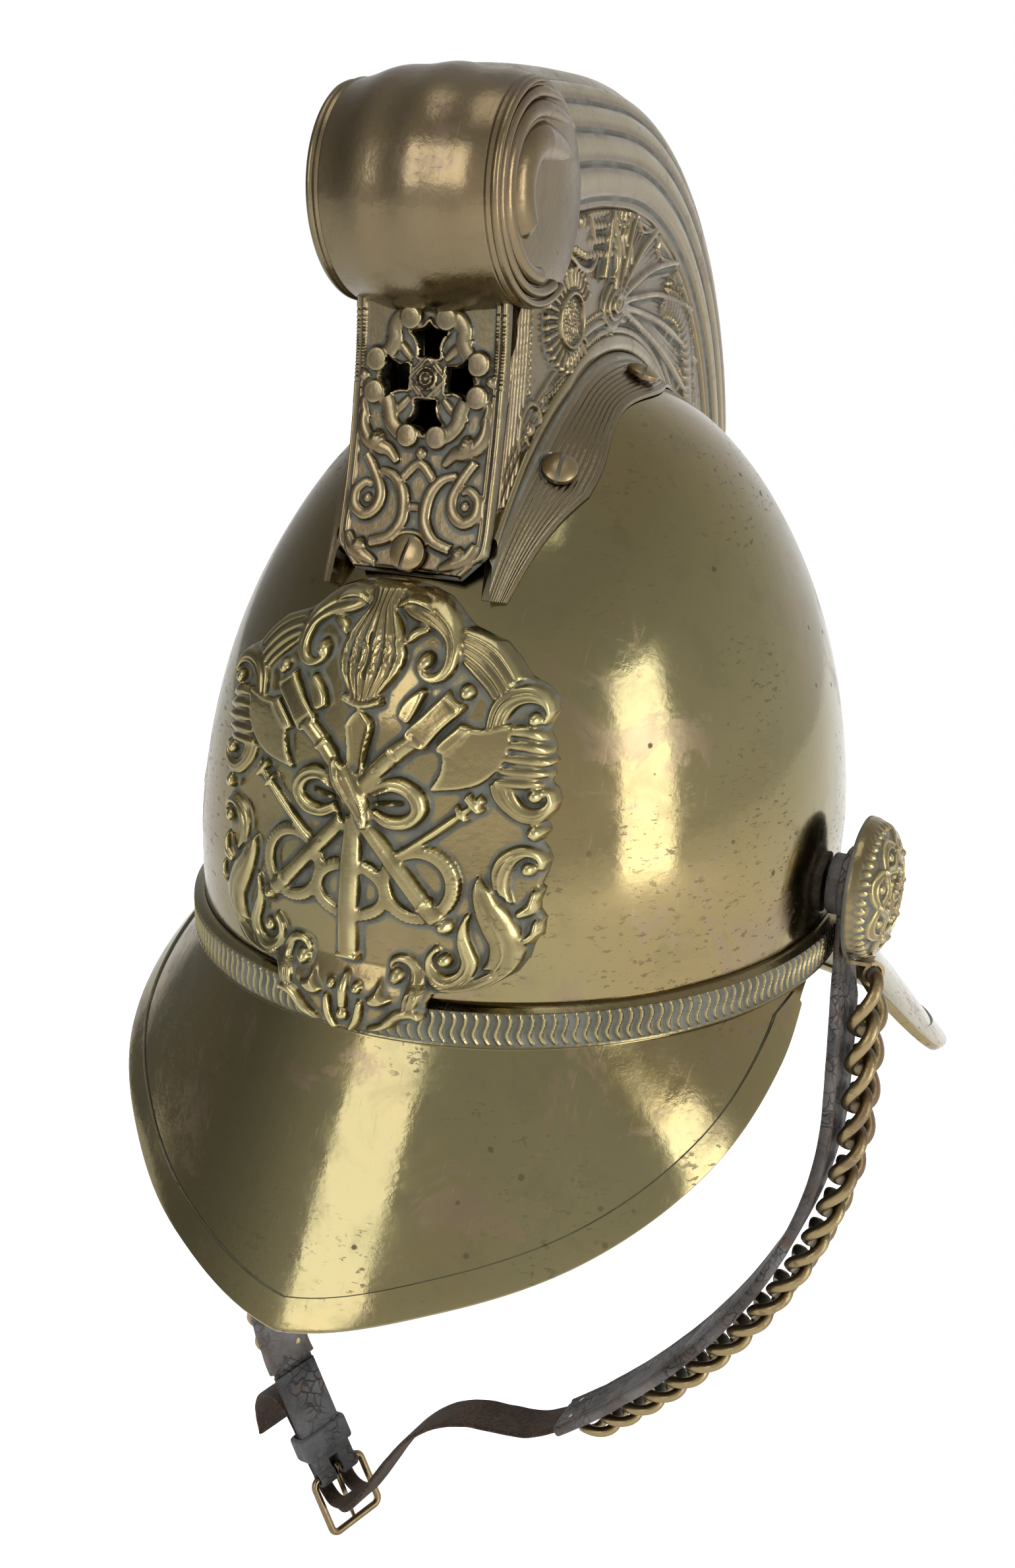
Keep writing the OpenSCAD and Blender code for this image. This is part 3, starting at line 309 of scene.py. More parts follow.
def lathe(profile, steps=64, cavity=None):
    """Skin of revolution about Z: profile is (radius, height) points, closed at both ends on the axis."""
    radius, height = np.asarray(profile, float).T[..., None]
    turn = full_turn(steps)
    points = xyz(radius * np.cos(turn), radius * np.sin(turn), height)
    return wrapped(points, None if cavity is None else np.full(points.shape[:2], cavity))


def moved(skin, axes, origin):
    """The skin with its own X, Y and Z turned to three axes, and its origin put at a point."""
    points = skin.points @ np.asarray(axes, float) + np.asarray(origin, float)
    return Skin(points, skin.quads, skin.cavity, skin.uv).outward()


def mirrored(skin):
    """The skin on the other side of the helmet."""
    return Skin(skin.points * [-1, 1, 1], skin.quads[:, ::-1], skin.cavity, skin.uv)


def joined(skins):
    """One skin from a list of them."""
    return sum(skins[1:], skins[0])


def make_piece(name, skin, material, node=None, body="helmet", crease=38):
    """Mesh object from a skin: welds equal points, drops collapsed cells, sets UV and cavity, rides on a body and
    stands for a CAD node. Edges bent by more than crease degrees are sharp."""
    keys = np.round(skin.points * 2e3).astype(np.int64)
    _, first, weld = np.unique(keys, axis=0, return_index=True, return_inverse=True)
    weld = weld.reshape(-1)
    corners = weld[skin.quads]
    same = corners == np.roll(corners, -1, 1)
    count = same.sum(1)
    whole, three = skin.quads[count == 0], skin.quads[count == 1]
    keep = ~same[count == 1]
    three = three[keep].reshape(-1, 3)
    name = name.replace(" ", "_")
    mesh = bpy.data.meshes.new(name)
    mesh.from_pydata((skin.points[first] * MM).tolist(), [], weld[whole].tolist() + weld[three].tolist())
    mesh.attributes.new("cavity", "FLOAT", "POINT").data.foreach_set("value", skin.cavity[first].astype(np.float32))
    loops = np.append(whole.reshape(-1), three.reshape(-1))
    mesh.uv_layers.new(name="UVMap").data.foreach_set("uv", skin.uv[loops].astype(np.float32).reshape(-1))
    mesh.polygons.foreach_set("use_smooth", [True] * len(mesh.polygons))
    mesh.set_sharp_from_angle(angle=math.radians(crease))
    mesh.materials.append(material)
    obj = bpy.data.objects.new(name, mesh)
    bpy.context.scene.collection.objects.link(obj)
    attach(obj, body)
    if node:
        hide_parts(node)
    print(f"{name}: {len(whole) * 2 + len(three)} triangles")


# %% [markdown]
# ## Relief
# Cast and pressed ornament is a height above a plain ground. A Relief is a fine square table of heights.
# Every ornament is stamped into it: its own small surface is sampled densely and the higher value stays, as if
# clay had been laid on. The cavity comes from the same table: a place lower than its surroundings is a recess.

# %% Relief tables


def inside_gap(x, y, line):
    """Distance to a closed outline, positive inside it (a point is inside if a ray crosses the line oddly often)."""
    inside, gap = np.zeros(x.shape, bool), np.full(x.shape, 1e9)
    for (ax, ay), (bx, by) in zip(line[:-1], line[1:]):
        inside ^= ((ay > y) != (by > y)) & (x < (bx - ax) * (y - ay) / (by - ay + 1e-12) + ax)
        w = np.clip(((x - ax) * (bx - ax) + (y - ay) * (by - ay)) / ((bx - ax) ** 2 + (by - ay) ** 2 + 1e-9), 0, 1)
        gap = np.minimum(gap, np.hypot(x - ax - w * (bx - ax), y - ay - w * (by - ay)))
    return np.where(inside, gap, -gap)


class Relief:
    """Square table of heights over x0 to x1 and y0 to y1. With both, an ornament is also stamped as its mirror
    image across x = 0, unless its own call says otherwise."""

    def __init__(self, x0, x1, y0, y1, cell=0.16, both=True):
        self.x0, self.y0, self.cell, self.both = x0, y0, cell, both
        self.height = np.zeros((int((y1 - y0) / cell) + 2, int((x1 - x0) / cell) + 2))

    def axes(self):
        """The x and the y of every place in the table."""
        rows, columns = self.height.shape
        return np.meshgrid(self.x0 + np.arange(columns) * self.cell, self.y0 + np.arange(rows) * self.cell)

    def stamp(self, x, y, h):
        """Keeps the higher of the table and the sampled surface."""
        i = np.rint((y - self.y0) / self.cell).astype(int).ravel()
        j = np.rint((x - self.x0) / self.cell).astype(int).ravel()
        inside = (i >= 0) & (j >= 0) & (i < self.height.shape[0]) & (j < self.height.shape[1])
        np.maximum.at(self.height, (i[inside], j[inside]), np.broadcast_to(h, x.shape).ravel()[inside])

    def soften(self, mm):
        """Box blur of the given width along both axes, done twice: differences of a running sum."""
        t, k = self.height, max(1, int(round(mm / self.cell)))
        for axis in (0, 1, 0, 1):
            first, last = (np.repeat(t.take([end], axis), k, axis) for end in (0, -1))
            sums, n = np.cumsum(np.concatenate([first, t, last], axis), axis), t.shape[axis]
            t = (sums.take(range(2 * k, 2 * k + n), axis) - sums.take(range(n), axis)) / (2 * k)
        return t

    def finish(self, smoothing=0.16, reach=1.1, depth=0.5):
        """Softens the stamped steps and works out the cavity."""
        self.height = self.soften(smoothing)
        wide = self.soften(reach)
        self.cavity = np.clip(0.5 + (wide - self.height) / depth * 0.5, 0, 1)
        return self

    def at(self, x, y, table=None):
        """Height, or another table, at any place, bilinear."""
        t = self.height if table is None else table
        c = np.clip((x - self.x0) / self.cell, 0, t.shape[1] - 1.001)
        r = np.clip((y - self.y0) / self.cell, 0, t.shape[0] - 1.001)
        i, j = r.astype(int), c.astype(int)
        fi, fj = r - i, c - j
        return ((t[i, j] * (1 - fj) + t[i, j + 1] * fj) * (1 - fi)
            + (t[i + 1, j] * (1 - fj) + t[i + 1, j + 1] * fj) * fi)

    # Ornaments. Lines are lists of (x, y); base is the height that an ornament stands on.
    def sides(self, both):
        """1 for an ornament as drawn and -1 for its mirror image."""
        return (1, -1) if (self.both if both is None else both) else (1,)

    def rib(self, line, width, height, taper=(1, 1), both=None, flat=0.5, base=0):
        """Rounded bead along a curve: its width falls towards both ends, to the shares in taper. Its section is
        one minus the square of the way across, to the power flat."""
        length = np.linalg.norm(np.diff(np.asarray(line, float), axis=0), axis=1).sum()
        t = np.linspace(0, 1, max(40 * len(line), int(length / self.cell * 1.8)))
        path = smooth(line, t)
        slope = np.gradient(path, axis=0)
        normal = unit(np.stack([-slope[:, 1], slope[:, 0]], -1))
        ends = taper[0] + (1 - taper[0]) * np.clip(t / 0.35, 0, 1) ** 0.7
        ends = ends * (taper[1] + (1 - taper[1]) * np.clip((1 - t) / 0.35, 0, 1) ** 0.7)
        s = np.linspace(-1, 1, max(9, int(width / self.cell * 1.6)))
        reach = width / 2 * ends[:, None] * s
        h = base + height * np.sqrt(ends)[:, None] * (1 - s * s) ** flat
        for side in self.sides(both):
            self.stamp(side * (path[:, :1] + normal[:, :1] * reach), path[:, 1:] + normal[:, 1:] * reach, h)

    def reeds(self, outer, inner, count, height, both=None, swell=0.35, groove=0.45):
        """Strip between two curves, with rounded reeds side by side along it. swell is how much it falls at its
        ends, and groove how deep the lines between the reeds are, both as shares of its height."""
        t = np.linspace(0, 1, 260)[:, None]
        a, b = smooth(outer, t[:, 0])[:, None], smooth(inner, t[:, 0])[:, None]
        s = np.linspace(0, 1, 90)[None, :]
        points = a + (b - a) * s[..., None]
        reed = (1 - groove) + groove * np.abs(np.sin(np.pi * count * s)) ** 0.7
        h = height * reed * (0.65 + 0.35 * np.sin(np.pi * s)) * (1 - swell + swell * np.sin(np.pi * t))
        for side in self.sides(both):
            self.stamp(side * points[..., 0], points[..., 1], h)

    def ball(self, x, y, r, height, both=None, base=0):
        """Round boss of radius r and the given height."""
        q, a = np.meshgrid(np.linspace(0, 1, 16), np.linspace(0, 2 * np.pi, 60))
        h = base + height * np.sqrt(np.maximum(1 - q * q, 0))
        for side in self.sides(both):
            self.stamp(side * (x + r * q * np.cos(a)), y + r * q * np.sin(a), h)

    def plate(self, outline, height, bevel=0.6, both=None, dish=0.0):
        """Flat field inside a closed outline, bevelled at its edge; dish lowers its middle."""
        for side in self.sides(both):
            line = smooth(np.vstack([outline, outline[:1]]), np.linspace(0, 1, 8 * len(outline) + 1)) * [side, 1]
            x, y = self.axes()
            low, high = line.min(0) - self.cell, line.max(0) + self.cell
            rows = np.flatnonzero((y[:, 0] > low[1]) & (y[:, 0] < high[1]))
            columns = np.flatnonzero((x[0] > low[0]) & (x[0] < high[0]))
            part = np.ix_(rows, columns)
            gap = inside_gap(x[part], y[part], line)
            h = height * ramp(gap, 0, bevel) - dish * ramp(gap, bevel, bevel * 3)
            self.height[part] = np.where(gap > 0, np.maximum(self.height[part], h), self.height[part])


print("relief tables ready")

# %% [markdown]
# ## Shader nodes
# A material is a small net of nodes: clouds, cells and smooth steps that feed one surface. The two classes below
# keep such a net short to write.

# %% Shader nodes


class Nodes:
    """Node tree of a material or world, emptied. Each method adds nodes."""

    def __init__(self, block):
        block.use_nodes = True
        self.tree = block.node_tree
        self.tree.nodes.clear()

    def add(self, kind, inputs=None, **settings):
        """New node; inputs are set by name or number, to a value or to another node's output."""
        node = self.tree.nodes.new("ShaderNode" + kind)
        for key, value in settings.items():
            setattr(node, key, value)
        for key, value in (inputs or {}).items():
            if isinstance(value, bpy.types.NodeSocket):
                self.tree.links.new(value, node.inputs[key])
            else:
                node.inputs[key].default_value = value
        return node

    def arithmetic(self, a, b, operation):
        """Two values under an operation of arithmetic."""
        return self.add("Math", {0: a, 1: b}, operation=operation).outputs[0]

    def times(self, a, b):
        """Product of two values."""
        return self.arithmetic(a, b, "MULTIPLY")

    def plus(self, a, b):
        """Sum of two values."""
        return self.arithmetic(a, b, "ADD")

    def larger(self, a, b):
        """The larger of two values."""
        return self.arithmetic(a, b, "MAXIMUM")

    def between(self, value, low, high, to_low=0.0, to_high=1.0, how="SMOOTHSTEP"):
        """A value brought from the range low to high into the range to_low to to_high, by a smooth step."""
        return self.add("MapRange", {"Value": value, "From Min": low, "From Max": high, "To Min": to_low,
            "To Max": to_high}, interpolation_type=how).outputs[0]


class Finish(Nodes):
    """Material whose patterns lie on the object's own coordinates, in metres. Its slot argument is not used."""

    def __init__(self, name, slot):
        self.material = bpy.data.materials.new(name)
        super().__init__(self.material)
        self.place = self.add("TexCoord").outputs["Object"]

    def noise(self, scale, detail=4, rough=0.55, distortion=0.0, place=None):
        """Cloud pattern; scale is in waves per metre."""
        return self.add("TexNoise", {"Vector": self.place if place is None else place, "Scale": scale,
            "Detail": detail, "Roughness": rough, "Distortion": distortion}).outputs["Fac"]

    def turned(self, rotation, scale):
        """The coordinates, turned and stretched."""
        return self.add("Mapping", {"Vector": self.place, "Rotation": rotation, "Scale": scale}).outputs[0]

    def cells(self, scale, place=None, feature="F1"):
        """Distance to the nearest of scattered points, or to the edges between their cells."""
        return self.add("TexVoronoi", {"Vector": self.place if place is None else place, "Scale": scale},
            feature=feature).outputs["Distance"]

    def cavity(self):
        """The cavity that make_piece keeps on every vertex."""
        return self.add("Attribute", attribute_name="cavity").outputs["Fac"]

    def mix(self, factor, a, b):
        """Mix of two colours, each a triple or an output."""
        a, b = (c if isinstance(c, bpy.types.NodeSocket) else (*c, 1) for c in (a, b))
        return self.add("Mix", {"Factor": factor, 6: a, 7: b}, data_type="RGBA").outputs[2]

    def bump(self, strength, distance, height):
        """Normal that the height tilts."""
        return self.add("Bump", {"Strength": strength, "Distance": distance, "Height": height}).outputs[0]

    def surface(self, inputs):
        """Ends the net with a surface of these inputs and gives back the material."""
        self.add("OutputMaterial", {"Surface": self.add("BsdfPrincipled", inputs).outputs[0]})
        return self.material


print("node helpers ready")

# %% [markdown]
# ## Stage
# A plain pale floor just under the buckle, a white surround, and soft lamps. The surround is white where the
# camera or glass looks at it, and dimmer for the light it sheds. Where a mirror looks at it, it is dimmer still,
# darker towards -X and overhead, so the brass isn't washed out. Brass shows its form by what it mirrors: two
# tall window lamps give the bright upright streaks.

# %% Floor, surround and lamps
FLOOR_Z, FLOOR_HALF = cad_box[0][2] - 0.004, 4
WHITE = (1, 1, 1, 1)

world = bpy.data.worlds.new("white surround")
bpy.context.scene.world = world
net = Nodes(world)
ray = net.add("LightPath").outputs
seen = net.larger(ray["Is Camera Ray"], ray["Is Transmission Ray"])
direction = net.add("SeparateXYZ", {0: net.add("TexCoord").outputs["Generated"]}).outputs
aside = net.between(direction[0], -0.96, -0.3, 0.2, 0.8)
above = net.between(direction[2], 0.1, 0.8, 1.1, 0.6, "LINEAR")
in_brass = net.times(aside, above)
light = net.add("Mix", {"Factor": ray["Is Glossy Ray"], 2: 0.75, 3: in_brass}, data_type="FLOAT").outputs[0]
surround = net.add("Background", {"Color": WHITE, "Strength": net.larger(light, seen)})
net.add("OutputWorld", {"Surface": surround.outputs[0]})

floor_mesh = bpy.data.meshes.new("floor")
floor_corners = [(x * FLOOR_HALF, y * FLOOR_HALF, FLOOR_Z) for x, y in ((-1, -1), (1, -1), (1, 1), (-1, 1))]
floor_mesh.from_pydata(floor_corners, [], [(0, 1, 2, 3)])
floor = bpy.data.objects.new("floor", floor_mesh)
bpy.context.scene.collection.objects.link(floor)
floor_paint = bpy.data.materials.new("pale floor")
net = Nodes(floor_paint)
matt = net.add("BsdfDiffuse", {"Color": (0.86, 0.86, 0.86, 1)})
ray = net.add("LightPath").outputs
along_x = net.add("SeparateXYZ", {0: net.add("TexCoord").outputs["Object"]}).outputs[0]
in_brass = net.times(net.between(along_x, -1.0, 0.5, 0.1, 0.55, "LINEAR"), ray["Is Glossy Ray"])
glow = net.add("Emission", {"Color": WHITE, "Strength": net.larger(ray["Is Camera Ray"], in_brass)})
both = net.add("AddShader", {0: matt.outputs[0], 1: glow.outputs[0]})
net.add("OutputMaterial", {"Surface": both.outputs[0]})
floor_mesh.materials.append(floor_paint)

LAMP_AIM, LAMP_FAR = np.array([0, 0, 0.06]), 1.9


def window(name, turn, rise, size, bright):
    """Soft rectangular lamp that looks at the helmet. turn is from straight ahead to the right, and rise is
    upwards. bright is what a mirror shows of it, so its power is bright times pi times its area."""
    a, b = math.radians(turn), math.radians(rise)
    data = bpy.data.lights.new(name, "AREA")
    data.shape = "RECTANGLE"
    data.size, data.size_y = size
    data.energy = bright * math.pi * size[0] * size[1]
    obj = bpy.data.objects.new(name, data)
    z = np.array([math.cos(b) * math.sin(a), -math.cos(b) * math.cos(a), math.sin(b)])
    x = unit(np.cross([0, 0, 1], z))
    place = Matrix(np.stack([x, np.cross(z, x), z], 1).tolist()).to_4x4()
    place.translation = LAMP_AIM + LAMP_FAR * z
    obj.matrix_world = place
    bpy.context.scene.collection.objects.link(obj)


window("window right", 74, 10, (0.66, 1.4), 4.2)
window("window front", -13, 25, (0.72, 1.1), 2.8)
window("table glow", -31, -15, (0.55, 0.4), 2.8)
window("overhead", 20, 80, (1.0, 1.0), 1.3)
print("floor at", round(FLOOR_Z, 4))

# %% [markdown]
# ## Finishes
# The brass was lacquered, polished and then left alone for decades. So its colour is an olive brown with
# yellower rubbed places, pink-brown blotches where the lacquer failed, small dark pits, and fine scratches.
# The recesses of the ornament keep a grey-green crust that is no longer metal, and its dark colour is also the
# painted shade of those recesses. The cavity attribute says where.

# %% Brass


def brass_finish(name, slot, metal, rubbed, blotch, gloss, crust_and_shade=0.9, blotches=0.5, pits=0.5, grain=0.0):
    """Aged brass. metal is the resting colour and rubbed the polished one; gloss is the roughness of the plain
    metal; crust, blotches and pits say how much of each there is. Crust here is the dark grey-green of the
    recesses, which paints their shade as well; grain adds a cast, sandy surface."""
    f = Finish(name, slot)
    cavity = f.cavity()
    clouds, stains, dust = f.noise(16, 3), f.noise(75, 6, 0.65, 0.4), f.noise(520, 4)
    colour = f.mix(f.between(clouds, 0.36, 0.66), metal, [m * k for m, k in zip(metal, (1.1, 0.98, 0.9))])
    colour = f.mix(f.times(f.between(stains, 0.5, 0.68), 0.35), colour, [m * 0.72 for m in metal])
    colour = f.mix(f.times(f.between(cavity, 0.46, 0.16), 0.85), colour, rubbed)
    patch = f.times(f.between(f.noise(30, 8, 0.72, 0.8), 0.54, 0.6), blotches)
    colour = f.mix(patch, colour, blotch)
    # Painted shade: where the cavity is high the colour turns dark grey-green. It is partly the crust in the recesses
    # and partly the shade that falls in them.
    crust_and_shade_mask = f.times(f.between(f.plus(cavity, f.times(dust, 0.12)), 0.62, 0.78), crust_and_shade)
    crust_and_shade_colour = f.mix(f.between(stains, 0.4, 0.62), (0.075, 0.078, 0.062), (0.15, 0.165, 0.145))
    colour = f.mix(crust_and_shade_mask, colour, crust_and_shade_colour)
    flakes = f.between(f.noise(330, 3, 0.6, place=f.turned((0.25, 0.2, 0), (1, 1, 2.6))), 0.6, 0.64)
    flakes = f.times(flakes, f.between(f.noise(21, 4), 0.46, 0.6))
    holes = f.cells(85.0)
    holes = f.between(f.plus(holes, f.times(dust, 0.1)), 0.135, 0.105)
    spot = f.times(f.larger(f.times(flakes, 0.75), holes), pits)
    colour = f.mix(spot, colour, (0.085, 0.062, 0.038))
    scratch = f.between(f.noise(1.0, 2, place=f.turned((0.5, 0.9, 0.3), (1500, 60, 90))), 0.66, 0.74)
    rough = f.plus(f.between(stains, 0.3, 0.7, gloss - 0.05, gloss + 0.07), f.times(scratch, 0.12))
    rough = f.plus(rough, f.times(patch, 0.13))
    rough = f.plus(rough, f.times(f.larger(crust_and_shade_mask, spot), 0.42))
    grit = f.plus(f.times(dust, 0.4 + 2.2 * grain), f.times(stains, 0.35))
    bump = f.bump(0.16 + 0.3 * grain, 0.0004, grit)
    return f.surface({"Base Color": colour, "Roughness": rough,
        "Metallic": f.between(crust_and_shade_mask, 0.0, 1.0, 1.0, 0.25), "Normal": bump})


OLIVE, YELLOW, PINK = (0.24, 0.208, 0.105), (0.46, 0.4, 0.19), (0.255, 0.193, 0.117)
polished_brass = brass_finish("polished brass", "brass_shell", OLIVE, YELLOW, PINK, 0.12, blotches=0.75, pits=0.75)
relief_brass = brass_finish("relief brass", "brass_relief", (0.22, 0.19, 0.098), (0.5, 0.43, 0.21), PINK, 0.2,
    blotches=0.3, grain=0.2)
comb_brass = brass_finish("comb brass", "brass_comb", (0.185, 0.152, 0.092), (0.34, 0.285, 0.16),
    (0.19, 0.135, 0.1), 0.24, blotches=0.55, pits=0.3, grain=0.2)
chain_brass = brass_finish("chain brass", "brass_chain", (0.15, 0.115, 0.058), (0.34, 0.26, 0.13),
    (0.16, 0.1, 0.06), 0.34, crust_and_shade=0.7, blotches=0.6, pits=0.4, grain=0.5)
fitting_brass = brass_finish("fitting brass", "brass_fittings", (0.19, 0.145, 0.085), (0.4, 0.31, 0.16),
    (0.17, 0.11, 0.07), 0.3, crust_and_shade=0.6, blotches=0.5, grain=0.2)
print("brass finishes:", [m.name for m in (polished_brass, relief_brass, comb_brass, chain_brass, fitting_brass)])

# %% [markdown]
# The leather has gone grey and hard, with a net of cracks and rust-brown rubs; the liner is browner. Suede is a
# nap of short fibres: no gloss, a soft sheen at its edge and mottled pile. Cork is pale with dark pores.

# %% Leather, suede and cork


def leather_finish(name, slot, dark, light, rub, crack):
    """Leather: pebbled grain from small cells, cracks where the cells of a warped pattern meet, and rubs."""
    f = Finish(name, slot)
    warp = f.add("TexNoise", {"Vector": f.place, "Scale": 90.0, "Detail": 3.0}).outputs["Color"]
    shift = f.add("VectorMath", {0: warp, 1: (0.012, 0.012, 0.012)}, operation="MULTIPLY").outputs[0]
    bent = f.add("VectorMath", {0: f.place, 1: shift}, operation="ADD").outputs[0]
    net, pebbles = f.cells(260.0, bent, "DISTANCE_TO_EDGE"), f.cells(1500.0)
    cracks = f.times(f.between(net, 0.1, 0.0), f.times(f.between(f.noise(60), 0.4, 0.62), crack))
    colour = f.mix(f.between(f.noise(48, 6, 0.65), 0.34, 0.68), dark, light)
    colour = f.mix(f.times(f.between(f.noise(120, 5, 0.7), 0.58, 0.68), 0.6), colour, rub)
    colour = f.mix(cracks, colour, [0.3 * d for d in dark])
    colour = f.mix(f.times(f.between(f.cavity(), 0.42, 0.2), 0.6), colour, rub)
    height = f.arithmetic(f.times(pebbles, 0.35), f.times(cracks, 1.6), "SUBTRACT")
    height = f.plus(height, f.times(f.noise(240, 5, 0.7), 0.9))
    bump = f.bump(0.65, 0.0006, height)
    return f.surface({"Base Color": colour, "Normal": bump,
        "Roughness": f.between(f.noise(80, 4), 0.3, 0.7, 0.5, 0.76)})


def suede_finish(name, slot, dark, light):
    """Suede: mottled brown pile, rough, with a sheen that lifts the edges."""
    f = Finish(name, slot)
    pile, tufts = f.noise(900, 5, 0.75), f.noise(2600, 2)
    colour = f.mix(f.between(f.noise(130, 6, 0.7), 0.34, 0.66), dark, light)
    colour = f.mix(f.between(pile, 0.42, 0.62), [0.55 * d for d in dark], colour)
    bump = f.bump(0.9, 0.0008, f.plus(pile, tufts))
    return f.surface({"Base Color": colour, "Roughness": 0.95, "Normal": bump,
        "Sheen Weight": 0.35, "Sheen Roughness": 0.45, "Sheen Tint": (0.5, 0.4, 0.32, 1)})


strap_leather = leather_finish("strap leather", "strap_leather", (0.05, 0.043, 0.038), (0.17, 0.16, 0.152),
    (0.11, 0.06, 0.033), 0.9)
loop_leather = leather_finish("loop leather", "strap_leather", (0.03, 0.028, 0.028), (0.11, 0.108, 0.108),
    (0.11, 0.06, 0.03), 0.9)
liner_leather = leather_finish("liner leather", "liner_leather", (0.11, 0.066, 0.04), (0.2, 0.125, 0.075),
    (0.26, 0.17, 0.1), 0.3)
brown_suede = suede_finish("brown suede", "suede", (0.024, 0.012, 0.006), (0.105, 0.048, 0.022))
cork = suede_finish("cork", "cork", (0.25, 0.15, 0.08), (0.46, 0.31, 0.18))
print("soft finishes ready")

# %% [markdown]
# ## Skull
# The skull was raised from one sheet: an oval wall that is nearly upright at its foot and closes to a dome that
# leans back a little. The same formula as in the CAD source gives any point from a plan angle and a height.

# %% Skull and base band
HALF_W, FRONT, BACK, CROWN, SIDE, LEAN = 90, 100, 109, 156, 30, 6.2
WALL, VENT_R, PLAN_N, RISE_M, FOOT_DRAW = 1.2, 7, 2.2, 1.765, 0.008
SEAT, BAND_H, BAND_T, BRIM_T = 0.3, 11.3, 1.3, 1.0
BAND_OFF = 2 * SEAT + BRIM_T
COMB_Y, COMB_Z = 15, 86


def lean_at(z):
    """How far back the skull's middle lies at height z: it grows with the height to the power one and a half."""
    return LEAN * (np.maximum(z, 0) / CROWN) ** 1.5


def oval_scale(z, off=0.0):
    """Share of the base oval left at height z: the side draws in a little at its foot, the dome follows a cosine."""
    side = 1 - FOOT_DRAW * (1 - np.minimum(z / SIDE, 1))
    rise = np.clip(np.maximum(z - SIDE, 0) / (CROWN + off - SIDE), 0, 1) ** (RISE_M / 2)
    return np.where(z <= SIDE, side, np.sqrt(np.maximum(1 - rise * rise, 0)) ** (2 / PLAN_N))


def skull_at(turn, z, off=0.0):
    """Point at plan angle turn (degrees, 0 at +X) and height z, moved outwards by off."""
    t = np.radians(turn)
    z = np.asarray(z, float)
    k = oval_scale(z, off)
    deep = np.where(np.sin(t) < 0, FRONT, BACK) + off
    return xyz((HALF_W + off) * k * np.cos(t), deep * k * np.sin(t) + lean_at(z), z)


def on_skull(x, z, off):
    """Point on the skull's front half at the given x and height."""
    k = oval_scale(z, off) * (HALF_W + off)
    return skull_at(-np.degrees(np.arccos(np.clip(x / k, -1, 1))), z, off)


def skull_radius(x, g, off=0.0):
    """Distance from the comb's centre at which the ray at angle g in the plane x meets the skull (bisection)."""
    x, g, off = np.broadcast_arrays(np.asarray(x, float), np.asarray(g, float), np.asarray(off, float))
    low, high = np.full(g.shape, 20.0), np.full(g.shape, 170.0)
    for _ in range(26):
        r = (low + high) / 2
        y, z = COMB_Y + r * np.cos(np.radians(g)), COMB_Z + r * np.sin(np.radians(g))
        k = np.maximum(oval_scale(z, off), 1e-4)
        y = y - lean_at(z)
        level = (x / (HALF_W + off) / k) ** 2 + (y / (np.where(y < 0, FRONT, BACK) + off) / k) ** 2
        inside = (z < CROWN + off) & (level < 1)
        low, high = np.where(inside, r, low), np.where(inside, high, r)
    return (low + high) / 2


def ripple(points, amount, wave):
    """Slow unevenness of hand-beaten sheet: a sum of three sine waves through space."""
    x, y, z = (points[..., i] / wave for i in range(3))
    waves = np.sin(x * 2.1 + y * 1.3 + 0.4) + np.sin(y * 1.7 - z * 2.3 + 1.9) + np.sin(z * 1.9 + x * 1.1 + 4.0)
    return amount * waves / 3


turns = np.linspace(0, 360, 240, endpoint=False)[None, :]
side_rows = np.linspace(0, SIDE, 12)[:-1]
dome_angle = np.linspace(0, np.arccos((VENT_R / HALF_W) ** (PLAN_N / 2)), 120)


def skull_wall(off):
    """The skull's surface moved outwards by off, from its foot to the crown vent, with its beaten ripple."""
    heights = np.append(side_rows, SIDE + (CROWN + off - SIDE) * np.sin(dome_angle) ** (2 / RISE_M))[:, None]
    plain = skull_at(turns, heights, off)
    return skull_at(turns, heights, off + ripple(plain, 0.22, 21) * ramp(heights, 4, 30))


make_piece("skull shell", shell(skull_wall(0.0), skull_wall(-WALL), ring=True), polished_brass, "skull")

# %% [markdown]
# The base band is a rolled strip between two plain rims. Its field is a row of leaning S-shaped crescents, one
# every 2.8 mm, each doubled in its lower half, with crust and painted shade between them.

# %% The band's pattern
around = 2 * np.pi * (HALF_W + FRONT + BACK + HALF_W) / 4
crescents = round(around / 2.8)
band_turn = np.linspace(0, 360, crescents * 10, endpoint=False)[None, :]
band_v = np.linspace(0, 1, 36)[:, None]
z = band_v * BAND_H
bend = 0.27 * np.sin(2 * np.pi * np.clip((z - 1.4) / 8.6, 0, 1)) + 0.06 * (z - 6)
phase = (band_turn / 360 * crescents + bend) % 1
field = ramp(z, 1.1, 1.7) * ramp(z, BAND_H - 1.6, BAND_H - 2.1)
double = 0.45 * bell(phase, 0.78, 0.11) * ramp(z, 7.5, 4.5)
crest = bell(phase, 0.4, 0.19) + double
rims = bell(z, 0.65, 0.45) + bell(z, BAND_H - 1.3, 0.4)
band_height = 0.68 * crest * field + 0.5 * rims
rise = BAND_T - 0.35 + band_height
rise = rise * edge_round(np.minimum(band_v, 1 - band_v) * 40)
# Painted shade and crust: the cavity is high between the crescents, and the brass finish darkens them there.
cavity = np.clip(0.9 - 0.95 * band_height, 0, 1)
cavity = np.where(z > BAND_H - 1.15, 0.42, cavity)
closing = edge_round((BAND_H - z) / 1.3)
band_front = skull_at(band_turn, z, 0.25 + (BAND_OFF + rise - 0.25) * closing)
band_back = skull_at(band_turn, z[[0, -1]], np.array([[BAND_OFF], [0.15]]))
make_piece("pressed band", shell(band_front, band_back, ring=True, cavity=cavity), relief_brass, "base_band")
print("crescents round the band:", crescents)

# %% [markdown]
# ## Peak and neck guard
# Each brim is a flange under the band, a sharp bend, and a slope. The peak comes to a point in the middle, and
# the slope changes round it. A strip of thinner brass is folded over each edge and leaves a fine dark line.

